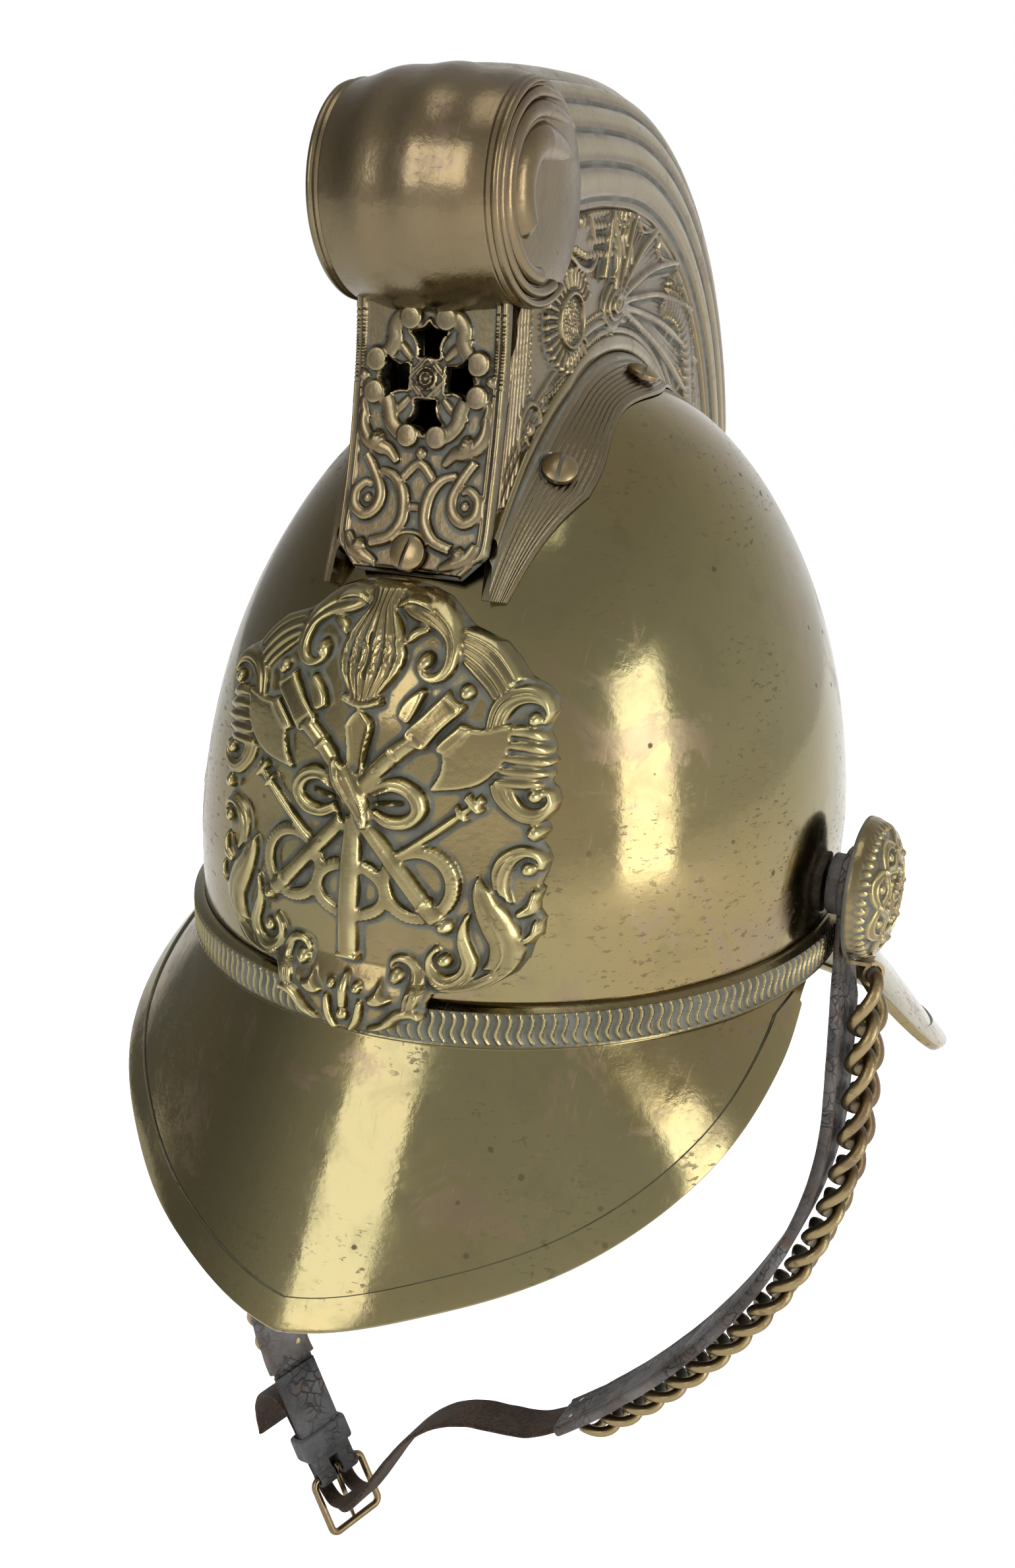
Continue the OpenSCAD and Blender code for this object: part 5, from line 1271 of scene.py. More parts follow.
# Ringed shield: stippled oval, raised line, rays with bright tips, a hatched border below
oval = closed_turn(33)
r.rib(ellipse(*SHIELD, 8.4, 6.6, oval), 1.5, 1.7)
for k in range(26):
    a = math.radians(-150 + 300 * k / 25 + 180)
    inner, outer = np.array([9.8, 8.0]), np.array([16.5 if math.cos(a) < 0 else 14.0, 12.4])
    c = np.array([math.cos(a), math.sin(a)])
    r.rib([SHIELD + inner * c, SHIELD + (inner + outer) / 2 * c, SHIELD + outer * c], 1.8, 1.5, (0.5, 0.9))
    r.ball(*(SHIELD + outer * c), 1.05, 1.8)
for k in range(70):
    a, q = 2.4 * k, math.sqrt(k / 70)
    r.ball(*ellipse(*SHIELD, 6.9 * q, 5.2 * q, a), 0.42, 0.5, base=0.25)
r.rib([(-44, 151), (-32, 155.5), (-18, 160.5), (-5, 164.5)], 1.1, 1.3)
r.rib([(-45, 147), (-31, 151), (-17, 156), (-3, 160)], 1.1, 1.3)
for k in np.linspace(0, 1, 24):
    r.rib([(-44.5 + 40 * k, 148.5 + 13 * k), (-44.9 + 40 * k, 150.8 + 13 * k)], 1, 1)
# Head, jaw, feathers and horn
r.plate([(-42, 190), (-36, 196.5), (-27, 197.5), (-16, 192), (-12, 185), (-18, 181.5), (-26, 184), (-34, 187)], 1,
    1.2)
r.rib([(-43, 191), (-38, 195.8), (-29, 197.6), (-19, 193.5), (-13, 187)], 2.4, 2.3, (0.6, 0.5))
r.rib([(-40, 186.6), (-33, 183.4), (-25, 180.6), (-16, 180.2), (-10, 183.5)], 2.2, 2.1, (0.5, 0.5))
r.ball(-41.5, 191.6, 2.2, 2.6)
r.ball(-24.5, 191.5, 2, 2.2)
r.rib([(-28.5, 192.6), (-24.5, 195), (-20.5, 192.4)], 1.2, 2.6, (0.4, 0.4))
for k in range(7):
    r.rib([(-38.5 + 2.8 * k, 187.4 - 0.5 * k), (-38 + 2.8 * k, 185.4 - 0.5 * k)], 1.2, 1.9, (1, 0.1))
for row in range(5):
    for k in range(9):
        y, z = -19 + 3.0 * k + 1.5 * (row % 2), 183.6 + 3.5 * row + 0.12 * k
        r.rib([(y - 1.6, z + 0.3), (y, z), (y + 1.9, z - 0.9)], 2.7, 1.5, (0.4, 0.2))
r.rib([(-5, 178), (-2.2, 186), (0, 193), (3.6, 199)], 2.8, 2.6, (0.8, 0.15))
r.rib([(-8, 200), (2, 201.4), (14, 201.8)], 1.4, 1.2)
# Wing: fingers from the shoulder to the border, webs between them, almond and beads on the shoulder
shoulder = np.array([7.0, 171.5])
tips = polar(np.array([111, 112, 111, 110, 108, 104, 99]), np.array([97, 85, 73, 61, 50, 40, 31]))
for a, b in zip(tips[:-1], tips[1:]):
    for k in np.linspace(0.14, 0.86, 6):
        end = a + (b - a) * k
        end = end + (shoulder - end) * (0.12 + 0.1 * math.sin(math.pi * k))
        bow = (shoulder + end) / 2 + [1.2, 2.0]
        r.rib([shoulder + (end - shoulder) * 0.22, bow, end], 1.5, 0.8, (0.3, 0.7))
    mid = (a + b) / 2 + (shoulder - (a + b) / 2) * 0.2
    r.rib([a, mid, b], 1.5, 1.3)
for t in tips:
    r.rib([shoulder, (shoulder + t) / 2 + [1.5, 3.2], t], 2.5, 2.1, (0.9, 0.35))
    r.ball(*t, 1.2, 1.7)
for k in range(5):
    y = 5 + 3.6 * k
    r.rib([(y, 178), (y + 1.6, 183), (y - 0.6, 188), (y + 1.4, 193), (y + 0.4, 198)], 1.5, 1.6)
for grow, high in ((1.0, 1.3), (0.68, 1.8), (0.36, 2.3)):
    r.rib(np.stack([8.5 + 10 * grow * np.cos(oval), 171.5 + 5.6 * grow * np.sin(oval) + 1.5 * grow * np.cos(oval)],
        -1), 1.9, high)
r.ball(8.5, 171.5, 1.9, 2.6)
for k in range(5):
    r.ball(-5 + 2.6 * k, 160.2 + 0.8 * k, 1.05, 1.5)
r.ball(20.5, 167.5, 1.5, 2)
# Coil of the tail: a tapering body with scales across it and a spine of small points
g = np.linspace(66, -17, 40)
mid_r = (moulding_at(g) + border_at(g)) / 2 + 1 + 5.5 * np.sin(np.radians((66 - g) * 7)) * ramp(g, -20, 20)
path = polar(mid_r, g)
r.rib(path, 9.5, 2, (0.9, 0.2))
along = unit(np.gradient(path, axis=0))
for t in np.linspace(0.02, 0.97, 46):
    p, d = smooth(path, t), smooth(along, t)
    n, w = np.array([-d[1], d[0]]), 4.4 * (1 - 0.75 * max(0, t - 0.5) / 0.5)
    r.rib([p - n * w - d * 0.9, p + d * 0.9, p + n * w - d * 0.9], 1.1, 0.7, base=1.55 - 0.6 * t)
    r.rib([p + n * w, p + n * (w + 2.6) + d * 1.2], 1.7, 1.7, (1, 0.1))
for t in np.linspace(0.06, 0.9, 15):
    p = smooth(path, t)
    for side in (-1, 1):
        d = smooth(along, t)
        q = p + side * np.array([-d[1], d[0]]) * 8.2
        r.ball(*q, 1.3, 1.1)
r.finish(smoothing=0.26, reach=1.2, depth=0.9)

share = np.linspace(1, 0, 118)[:, None]
stations = np.concatenate([np.linspace(COMB_FRONT, 78, 500), np.linspace(78, COMB_TAIL, 221)[1:]])[None, :]
foot, head, up, rise = section_frame(stations)
half = comb_half_w(stations)
panel = (foot + 3.6 * up) * (1 - share[..., None]) + (head - 2.2 * up) * share[..., None]
panel = from_plate(panel + X_AXIS * (half - 0.5)[..., None])
raised = panel_relief.at(panel[..., 1], panel[..., 2])
edge = np.minimum(ramp(share, 0, 0.02), ramp(1 - share, 0, 0.02))
front = under_roll(panel + X_AXIS * (raised * edge)[..., None])
cavity = panel_relief.at(panel[..., 1], panel[..., 2], panel_relief.cavity)
back = under_roll(panel[[-1, 0]] - 0.65 * X_AXIS)
panel_skin = loft(np.concatenate([front, back]), np.concatenate([cavity, cavity[:2] * 0 + 0.6]))
make_piece("comb left panel", panel_skin, comb_brass, crease=60)
make_piece("comb right panel", mirrored(panel_skin), comb_brass, crease=60)

# %% [markdown]
# ## Front plate
# The plate closes the comb's front. It is bent round an axis that lies in front of it, so it curves away. A
# cross of four openings lets air in; the grid's points next to an opening are shifted onto its outline, and
# then the cells inside it are left out.

# %% Front plate
plate_relief = Relief(-22, 22, 107, 178, cell=0.14)
r = plate_relief
VENT_Z = 154.6
VENT = np.array([0, VENT_Z])
arm = np.array([(-2.6, 5.2), (2.6, 5.2), (2.7, 7.4), (3.4, 9.2), (4.7, 10.6), (2.6, 10.9), (1.2, 11.4), (0, 12.6),
    (-1.2, 11.4), (-2.6, 10.9), (-4.7, 10.6), (-3.4, 9.2), (-2.7, 7.4), (-2.6, 5.2)])
quarter = np.array([[0, -1], [1, 0]])
arms = [arm @ np.linalg.matrix_power(quarter, k) for k in range(4)]
for a in arms:
    line = a + VENT
    r.rib(line[4:11] + (line[4:11] - VENT) * 0.07, 1.1, 1.2, both=False)
    for side in (line[:5], line[9:]):
        r.rib(side + (side - line.mean(0)) * 0.16, 1.0, 1.2, both=False)
for grow, high in ((5.9, 0.9), (4.7, 1.3)):
    square = np.array([(0, grow), (grow, 0), (0, -grow), (-grow, 0), (0, grow)])
    for a, b in zip(square[:-1], square[1:]):
        r.rib([a + VENT, b + VENT], 0.9, high, both=False)
r.plate([(0, VENT_Z + 5.9), (5.9, VENT_Z), (0, VENT_Z - 5.9), (-5.9, VENT_Z)], 0.5, 0.5, both=False)
for radius, high in ((2.5, 1.7), (1.4, 2.0)):
    r.rib(ellipse(*VENT, radius, radius, closed_turn(25)), 0.9, high, both=False)
r.ball(0, VENT_Z, 0.9, 2.1, both=False)
for up in (1, -1):
    stem = [(4.4, VENT_Z + up * 4.4), (7.0, VENT_Z + up * 7.0), (9.6, VENT_Z + up * 9.4)]
    r.rib(stem, 2.6, 1.0, (0.6, 1))
    r.rib([(8.4, VENT_Z + up * 8.6), (9.2, VENT_Z + up * 11.4)], 1.4, 1.2)
    r.rib([(8.6, VENT_Z + up * 8.4), (11.6, VENT_Z + up * 9.0)], 1.4, 1.2)
for line in ([(4.5, 168.3), (7.4, 168.4), (9.2, 166), (9.1, 163.4), (10.6, 160.4), (13.3, 158.4)],
        [(13.5, 151.0), (10.8, 149.6), (9.6, 147.4), (8.6, 144.0), (6.2, 141.8), (3.7, 141.3)]):
    r.rib(line, 4.2, 1.6, flat=0.22)
for x, z, size in ((4.7, 168.5, 3.4), (13.5, 158.5, 3.5), (13.7, 150.9, 3.4), (3.9, 141.2, 3.4)):
    r.plate(ellipse(x, z, size, size, full_turn(16)), 1.9, 0.9, dish=-0.1)
r.ball(16.8, 154.6, 1.7, 1.6)
r.ball(0, 137.3, 1.8, 1.7, both=False)
# Serpents, strapwork and the reeded border
r.rib([(16.4, 146.5), (16, 142.4), (14.2, 139.6), (11.4, 138.4), (8.6, 137.4), (6.2, 134.8)], 4.6, 1.9, (0.4, 0.35))
r.ball(12, 140, 2.5, 2.6)
r.ball(12, 140, 1.1, 3.1)
r.rib([(15.4, 144.6), (16.6, 148), (15.8, 151)], 2.6, 1.4, (0.8, 0.2))
r.rib([(14.6, 136.4), (11.6, 132), (9.6, 127.4), (10.6, 123.8), (13.4, 122.2), (16.2, 124), (16.4, 127.4),
    (14, 129.6), (12, 129)], 3.4, 1.8, (0.8, 0.5), flat=0.28)
r.rib([(10.4, 132.8), (6.6, 131.6), (3.9, 128.6), (2.9, 124.6), (3.4, 120.8), (6.2, 117.4), (11, 115.8)], 3.6, 1.9,
    (0.5, 0.8), flat=0.28)
r.ball(13.1, 126, 1.5, 1.4)
r.rib([(-4.2, 131.3), (0, 134.9), (4.2, 131.3)], 2.8, 1.7, both=False, flat=0.28)
r.rib([(-3.3, 124.8), (3.3, 124.8)], 2.4, 1.4, both=False, flat=0.28)
r.rib([(-5, 116.6), (-2.2, 118.7), (2.2, 118.7), (5, 116.6)], 1.9, 1.6, both=False)
r.rib([(17.2, 117.6), (15.4, 114.6), (12.2, 112.8), (8.6, 111.2)], 4.2, 1.9, (0.5, 0.35))
r.ball(13.4, 114.9, 2.2, 2.5)
r.ball(13.4, 114.9, 1.0, 2.9)
for i in range(2):
    x = 19.3 - 1.6 * i
    r.rib([(x, 176), (x, 150), (x, 130), (x, 117 - 0.45 * i), (x - 2.6, 113.2 - 0.45 * i),
        (x - 5.4, 110.3 + 0.3 * i)], 1.5, 1.0)
r.rib([(-14, 110.4), (14, 110.4)], 0.9, 0.9, both=False)
r.finish(smoothing=0.16, reach=1.0, depth=0.8)

PLATE_FOOT, PLATE_TOP, PLATE_HALF = 109.3, 175.5, 20.2
z = np.linspace(PLATE_FOOT, PLATE_TOP, 274)[:, None]
share = np.linspace(-1, 1, 170)[None, :]
half = PLATE_HALF - np.maximum(0, 6 - (z - PLATE_FOOT))
x, z = half * share, z + 0 * share
gap = np.max([inside_gap(x, z - VENT_Z, smooth(a, np.linspace(0, 1, 53))) for a in arms], 0)
slope_z, slope_x = np.gradient(gap)
step_z, step_x = np.gradient(z)[0], np.gradient(x)[1]
gx, gz = slope_x / step_x, slope_z / step_z
near = np.abs(gap) < 0.16
size = np.maximum(gx**2 + gz**2, 0.3)
x, z = x - np.where(near, gap * gx / size, 0), z - np.where(near, gap * gz / size, 0)
gap = np.where(near, 0, gap)
corners = np.max([gap[:-1, :-1], gap[:-1, 1:], gap[1:, :-1], gap[1:, 1:]], 0)
edge = np.minimum(np.minimum(1 - np.abs(x) / half, 1) * half, np.minimum(z - PLATE_FOOT, PLATE_TOP - z))
rounding = edge_round(edge / 0.5) * (1 - 0.5 * (gap > -0.05))


def on_plate(x, z, radius):
    """Point on the bent plate at the given bend radius."""
    a = np.arcsin((z - PLATE_Z) / PLATE_BEND)
    return xyz(x, PLATE_Y + radius * np.cos(a), PLATE_Z + radius * np.sin(a))


face = on_plate(x, z, PLATE_BEND + 0.35 - (0.35 + plate_relief.at(x, z)) * rounding)
back = on_plate(x, z, PLATE_BEND + PLATE_T)
cavity = np.where(gap > -0.3, 0.6, plate_relief.at(x, z, plate_relief.cavity))
make_piece("vented plate", pierced(face, back, corners <= 0, cavity), comb_brass, "comb_front_plate", crease=60)

# %% [markdown]
# ## Roll
# The sheet at the comb's head is rolled up. The barrel swells in its middle. On both sides the crest's ribs run
# over its top and wrap round like a volute, each a little tighter than the one outside it.

# %% Roll
BARREL_HALF, BARREL_SWELL = 20.8, 3
barrel_x = np.linspace(-BARREL_HALF, BARREL_HALF, 61)
bulge = (BARREL_HALF**2 + BARREL_SWELL**2) / (2 * BARREL_SWELL)
barrel_r = ROLL_MID - bulge + np.sqrt(bulge**2 - barrel_x**2) - 0.2 + 0.25 * np.sin(barrel_x * 2 * np.pi / 13.8)
profile = [(0, -23.2), (23.6, -23.2), (24.9, -22.6), (25.5, -21.6), (25.2, -20.9)]
profile += list(zip(barrel_r, barrel_x)) + [(25.2, 20.9), (25.5, 21.6), (24.9, 22.6), (23.6, 23.2), (0, 23.2)]
to_x = np.array([[0, 0, -1.0], [0, 1, 0], [1, 0, 0]])
middles = (np.array(profile[:-1]) + profile[1:]) / 2
profile = np.vstack([np.stack([profile[:-1], middles], 1).reshape(-1, 2), profile[-1:]])
roll_skin = moved(lathe(profile, 180, 0.42), to_x, [0, ROLL_Y, ROLL_Z])
for start_r, end_r, stop, thick, lead, shift in ((24.4, 24.2, 215, 1.05, 0, 0), (21.9, 21.6, 205, 1.3, 10, 0.2),
        (18.4, 18.0, 185, 2.2, 20, 0.6), (11.4, 10.2, 150, 5.2, 26, 1.5)):
    turn = np.radians(np.linspace(0, stop, 110))
    radius = start_r + (end_r - start_r) * np.linspace(0, 1, 110) ** 1.4
    deep = 23.3 - 0.75 * max(0, thick - 1.5)
    circle = xyz(deep, ROLL_Y + shift - radius * np.sin(turn), ROLL_Z + radius * np.cos(turn))
    run = np.linspace(lead, 0.6, 16)[:, None] if lead else np.zeros((0, 1))
    tail = circle[0] + run * [0, 1, 0] - [0, 0, 1] * run**2 / 150 - [1, 0, 0] * run**2 * 0.004
    path = np.concatenate([tail, circle])
    girth = thick * np.minimum(1, 0.5 + np.linspace(0, 1, len(path)) * 4)
    girth = girth * edge_round(np.linspace(1, 0, len(path)) * 160 / thick**2 * 1.2 + 0.1)
    rib = tube(path, girth, X_AXIS, 18, cavity=0.42)
    roll_skin = roll_skin + rib + mirrored(rib)
make_piece("rolled head", roll_skin, comb_brass, "comb_roll", crease=50)

# %% [markdown]
# ## Rosettes
# A rosette is a dome covered with interlaced straps. Two waved bands cross each other eight times round the
# middle, with a ball in every loop, and a beaded rim outside them.

# %% Rosettes
ROSETTE_X, STUD_Y, STUD_Z, ROSETTE_R, ROSETTE_H = 97.7, 5.4, 20.7, 20, 11
rosette_relief = Relief(-20.5, 20.5, -20.5, 20.5, cell=0.14, both=False)
r = rosette_relief
a = closed_turn(129)
for phase in (0, np.pi):
    wave = 12.9 + 3.3 * np.sin(4 * a + phase)
    r.rib(ellipse(0, 0, wave, wave, a), 2.5, 1.0, flat=0.3)
    for grow in (-0.95, 0.95):
        r.rib(ellipse(0, 0, wave + grow, wave + grow, a), 0.6, 0.35, base=0.85)
# Rings of balls: how many, the first one's place, how far out, radius and height
for count, first, out, size, high in ((8, 0.5, 12.9, 1.5, 1.3), (8, 0, 12.9, 1.3, 1.9), (44, 0, 18.2, 0.95, 0.9),
        (18, 0, 7.3, 0.95, 0.9)):
    for p in ellipse(0, 0, out, out, (np.arange(count) + first) * 2 * np.pi / count):
        r.ball(*p, size, high)
for k in range(12):
    ray = ellipse(0, 0, 1, 1, k * 2 * np.pi / 12)
    r.rib([2.4 * ray, 5.2 * ray], 1.1, 0.45, (0.5, 1))
r.ball(0, 0, 1.7, 0.9)
r.finish(smoothing=0.16, reach=0.9, depth=0.6)
rings = np.concatenate([[0.0], np.linspace(0.4, 5.2, 24), np.linspace(5.5, 19.9, 92)])[:, None]
turn = full_turn(260)[None, :]
y, z = rings * np.cos(turn), rings * np.sin(turn)
dome = 1.2 + (ROSETTE_H - 1.2) * (1 - np.minimum(rings / ROSETTE_R, 1) ** 2) ** 0.4 - 0.9
high = dome + rosette_relief.at(y, z) * ramp(20.2 - rings, 0, 0.8) + 1.0 * ramp(rings, 5.9, 5.2)
radius, out = np.array([(20, 0.9), (19.9, 0.3), (19.2, 0), (17.8, 0.1), (16, 3.5), (11, 6.6), (5.2, 8.2), (3.4, 8.2),
    (3.2, 0.1), (2.7, 0.1), (2.7, 7.5), (0, 7.5)]).T[..., None]
behind = xyz(out, radius * np.cos(turn), radius * np.sin(turn))
cavity = np.concatenate([rosette_relief.at(y, z, rosette_relief.cavity), np.full(behind.shape[:2], 0.7)])
dome_skin = wrapped(np.concatenate([xyz(high, y, z), behind]), cavity)
rosette_skin = moved(dome_skin, np.eye(3), [ROSETTE_X, STUD_Y, STUD_Z])
make_piece("left rosette", rosette_skin, relief_brass, "rosette_left", crease=55)
make_piece("right rosette", mirrored(rosette_skin), relief_brass, "rosette_right", crease=55)

# %% [markdown]
# ## Screws
# Each screw head is a low dome on a short rim, with a straight slot. Its grid runs along the slot, so that the
# slot's two edges are grid lines.

# %% Screw heads


def slotted_head(radius, rim, dome, slot_depth, slot=1.0, turn=0.0):
    """Screw head that stands on z = 0; the slot lies along X, turned by some degrees."""
    half = slot / radius
    y = np.concatenate([np.linspace(-1, -0.5 * half, 16), np.linspace(-0.46 * half, 0.46 * half, 5),
        np.linspace(0.5 * half, 1, 16)])
    y = radius * np.sin(y * np.pi / 2)
    y[15], y[16], y[20], y[21] = -slot / 2, -slot * 0.46, slot * 0.46, slot / 2
    x = np.sqrt(np.maximum(radius**2 - y**2, 0))[:, None] * eased(45)
    y = y[:, None] + 0 * x
    q = np.minimum(np.hypot(x, y) / radius, 1)
    z = rim + dome * (1 - q**2) ** 0.8
    sunk = np.abs(y) < slot * 0.48
    z = np.where(sunk, np.minimum(z, rim + dome - slot_depth), z)
    c, s = math.cos(math.radians(turn)), math.sin(math.radians(turn))
    points = np.stack([c * x - s * y, s * x + c * y, z], -1)
    return lidded(points, lambda edge, k: edge * [k, k, 0], np.where(sunk, 0.95, 0.3))


def axes_to(normal):
    """Three axes whose last one is the given direction."""
    first = unit(np.cross([0, 0, 1.0], normal))
    return np.array([first, np.cross(normal, first), normal])


heads = []
for p, n, turn in zip(screw_points, screw_normals, (72, 20, 64)):
    shank = moved(lathe([(0, -6), (1.6, -6), (1.6, SEAT + 1.9)], 24), axes_to(n), p)
    screw = moved(slotted_head(4.5, 1.2, 1.3, 0.8, turn=turn), axes_to(n), p + n * (SEAT + 1.9)) + shank
    heads += [screw, mirrored(screw)]
make_piece("side screws", joined(heads), fitting_brass, "comb_screws", crease=30)
PLATE_SCREW_Z = 114
screw_angle = math.asin((PLATE_SCREW_Z - PLATE_Z) / PLATE_BEND)
screw_n = np.array([0, -math.cos(screw_angle), -math.sin(screw_angle)])
screw_at = np.array([0, PLATE_Y + PLATE_BEND * math.cos(screw_angle), PLATE_SCREW_Z])
head = moved(slotted_head(4.5, 1.5, 1.2, 0.9, turn=75), axes_to(screw_n), screw_at + screw_n * 0.4)
shank = moved(lathe([(0, -9), (1.6, -9), (1.6, 0.4)], 24), axes_to(screw_n), screw_at)
make_piece("plate screw", head + shank, fitting_brass, "front_screw", crease=30)

# %% [markdown]
# ## Chin strap
# Each side of the strap is leather with a chain on it. Both follow one middle line: straight down from the
# stud, then a Bezier curve to the chin. The places along it are found by length, so links stand at their pitch.

# %% The strap's middle line
STRAP_X, BACKING_T, STRAP_W, STRAP_T, POCKET, LOOP_LEN = 96.0, 3.8, 15, 1.8, 13, 42
LEFT_CURVE = np.array([[97, -45], [97, -95], [60, -146], [19, -179.0]])
RIGHT_CURVE = np.array([[-97, -45], [-101, -100], [-102, -160], [-86, -193.0]])


class Side:
    """One side of the chin strap: places, axes and lengths along its middle line."""

    def __init__(self, curve, twist):
        self.curve, self.sign, self.twist = curve, np.sign(curve[0, 0]), twist
        u = np.linspace(0, 1, 801)
        steps = np.linalg.norm(np.diff(self.point(u), axis=0), axis=1)
        self.u, self.length = u, np.append(0, np.cumsum(steps))
        self.total = self.length[-1]

    def point(self, u):
        """Straight for the first 0.3, then the Bezier curve."""
        u = np.asarray(u, float)[..., None]
        f, b = np.clip(u / 0.3, 0, 1), np.clip((u - 0.3) / 0.7, 0, 1)
        p = self.curve
        bent = (1 - b) ** 3 * p[0] + 3 * b * (1 - b) ** 2 * p[1] + 3 * b**2 * (1 - b) * p[2] + b**3 * p[3]
        straight = np.concatenate([self.sign * (STRAP_X + f * f * (3 - 2 * f)), STUD_Z + (p[0, 1] - STUD_Z) * f], -1)
        xz = np.where(u < 0.3, straight, bent)
        return xyz(xz[..., 0], STUD_Y, xz[..., 1])

    def axes(self, u):
        """Directions down the strap, across it (towards the back on both sides) and out from it."""
        u = np.asarray(u, float)
        down = unit(self.point(np.minimum(u + 0.004, 1)) - self.point(np.maximum(u - 0.004, 0)))
        turn = np.radians(self.twist * (np.maximum(0, u - 0.3) / 0.7) ** 1.5)[..., None]
        back = np.array([0, 1.0, 0]) + 0 * down
        wide = np.cos(turn) * back + np.sin(turn) * np.cross(down, back)
        return down, wide, self.sign * np.cross(down, wide)

    def at(self, s):
        """Place u on the curve at the length s from the stud."""
        return np.interp(s, self.length, self.u)

    def frame(self, s):
        """Axes and origin for moved() at a length: X down, Y across, Z out."""
        u = self.at(s)
        down, wide, out = self.axes(u)
        return np.array([down, wide * self.sign, out]), self.point(u)


left, right = Side(LEFT_CURVE, 0), Side(RIGHT_CURVE, 25)
print("strap lengths", round(left.total, 1), round(right.total, 1))

# %% Chain
PITCH, PITCH_TOP, PITCH_CHIN, PITCH_STEPS, CHAIN_START = 11, 12, 9, 19, 33.0
LINK_HALF, LINK_SIDE, LINK_TWIST, WIRE_R, LINK_LIFT = 8, 6.5, 45, 1.93, 2.43 + 1.95


def link_scale(i):
    """Size of link i: the pitch falls evenly from the rosette to the chin."""
    return (PITCH_TOP + (PITCH_CHIN - PITCH_TOP) * i / PITCH_STEPS) / PITCH


def link(scale):
    """A flattened wire bent to an oval and twisted, so that its ends stand across each other."""
    a = full_turn(52)
    twist, wide = np.radians(LINK_TWIST * np.cos(a)), LINK_SIDE * np.sin(a)
    line = np.stack([LINK_HALF * np.cos(a), wide * np.cos(twist), wide * np.sin(twist)], -1)
    rubbed = 0.4 * np.abs(np.cos(full_turn(14))) * np.abs(np.sin(a))[:, None]
    worn = 0.5 - rubbed + 0.35 * bell(np.abs(np.cos(a)), 1, 0.08)[:, None]
    return tube(line * scale, WIRE_R * scale, line + [0, 0, 0.001], 14, closed=True, cavity=worn,
        section=lambda angle: (squared(np.cos(angle), 0.8), 0.86 * squared(np.sin(angle), 0.7)))


def chain(side, count, name, node):
    """Links in a row on the leather, each put halfway between its neighbours' pitches."""
    links, place = [], CHAIN_START
    for i in range(count):
        scale = link_scale(i)
        axes, origin = side.frame(place)
        height = BACKING_T / 2 + SEAT + scale * LINK_LIFT
        links.append(moved(link(scale), axes, origin + axes[2] * height))
        place += PITCH * (scale + link_scale(i + 1)) / 2
    make_piece(name, joined(links), chain_brass, node, body="chin_strap", crease=55)


chain(left, 18, "left chain", "chain_left")
chain(right, 17, "right chain", "chain_right")

# %% [markdown]
# The leather under the chain is thick, and its long edges are rolled over. Its edges are worn and chipped, and
# it is thinner under the rosette. The lower end is split and holds the end of the suede strap, or of the
# buckle's loop.

# %% Leather backings
LEATHER_TOP_W, LEATHER_END_W = 24, 20


def rag(s, seed):
    """Worn edge: slow and quick waves with a few nicks."""
    slow = 0.22 * np.sin(s / 4.1 + seed) + 0.16 * np.sin(s / 1.7 + 2.3 * seed)
    nick = np.maximum(0, np.sin(s / 9.3 + seed * 1.9) * np.sin(s / 5.7 + seed)) ** 6
    return slow - 1.3 * nick


def backing(side, name, node, seed):
    """Leather of one side: a squared oval carried down the middle line, with rolled edges, and a disc on the stud."""
    n = 190
    s = np.linspace(6, side.total, n)
    u = side.at(s)
    down, wide, out = side.axes(u)
    f = np.clip((s - 26) / 10, 0, 1)
    top, low = BACKING_T / 2 - 0.1 - 1.6 * (1 - f * f * (3 - 2 * f)), -BACKING_T / 2 + 0.15
    width = LEATHER_TOP_W + (LEATHER_END_W - LEATHER_TOP_W) * np.linspace(0, 1, n)
    half = width / 2 * np.minimum(1, 0.86 + s / 120) - 0.5
    a = full_turn(56)[:, None]
    c, z = np.cos(a), np.sin(a)
    across = squared(c, 0.42) * (half + rag(s, seed + (c > 0)) * 0.6 - 0.3)
    inward = half - np.abs(across)
    rolled = 0.3 * bell(inward, 1.6, 0.8) - 0.25 * bell(inward, 3.4, 0.5)
    high = np.where(z > 0, top, low) * np.abs(z) ** 0.5 + rolled * np.sign(z) * (np.abs(z) > 0.3)
    high = np.clip(high, low, top + 0.02)
    points = side.point(u) + across[..., None] * wide + high[..., None] * out
    cavity = np.clip(0.55 - rolled * 1.2 + 0.2 * np.sin(s / 3) * (np.abs(c) > 0.9), 0, 1)
    disc = lathe([(2.9, -1.1), (10.4, -1.1), (10.9, -0.7), (10.9, 0.7), (10.4, 1.1), (2.9, 1.1), (2.9, -1.1)], 72)
    axes = np.array([[0, 0, -1.0], [0, 1.0, 0], [side.sign, 0, 0]])
    skin = loft(points, cavity) + moved(disc, axes, [side.sign * (STRAP_X - 0.8), STUD_Y, STUD_Z])
    make_piece(name, skin, strap_leather, node, body="chin_strap", crease=60)


backing(left, "left leather", "backing_left", 1.3)
backing(right, "right leather", "backing_right", 4.1)

# %% [markdown]
# ## Suede strap and buckle
# The strap leaves the left leather, sags under the chin, passes through the buckle from inside, turns back over
# its loop and through the keeper, and ends in a curled tail. A slot lets the prong through.

# %% Suede strap


def slot_cells(open_rows, share, half_width, reach):
    """Cells of a strap's grid that lie in its slot: in open rows, and within reach of the middle."""
    away = np.abs(0.5 * (share[:, :-1] + share[:, 1:])) * half_width
    return open_rows[:-1, None] & open_rows[1:, None] & (away < reach)


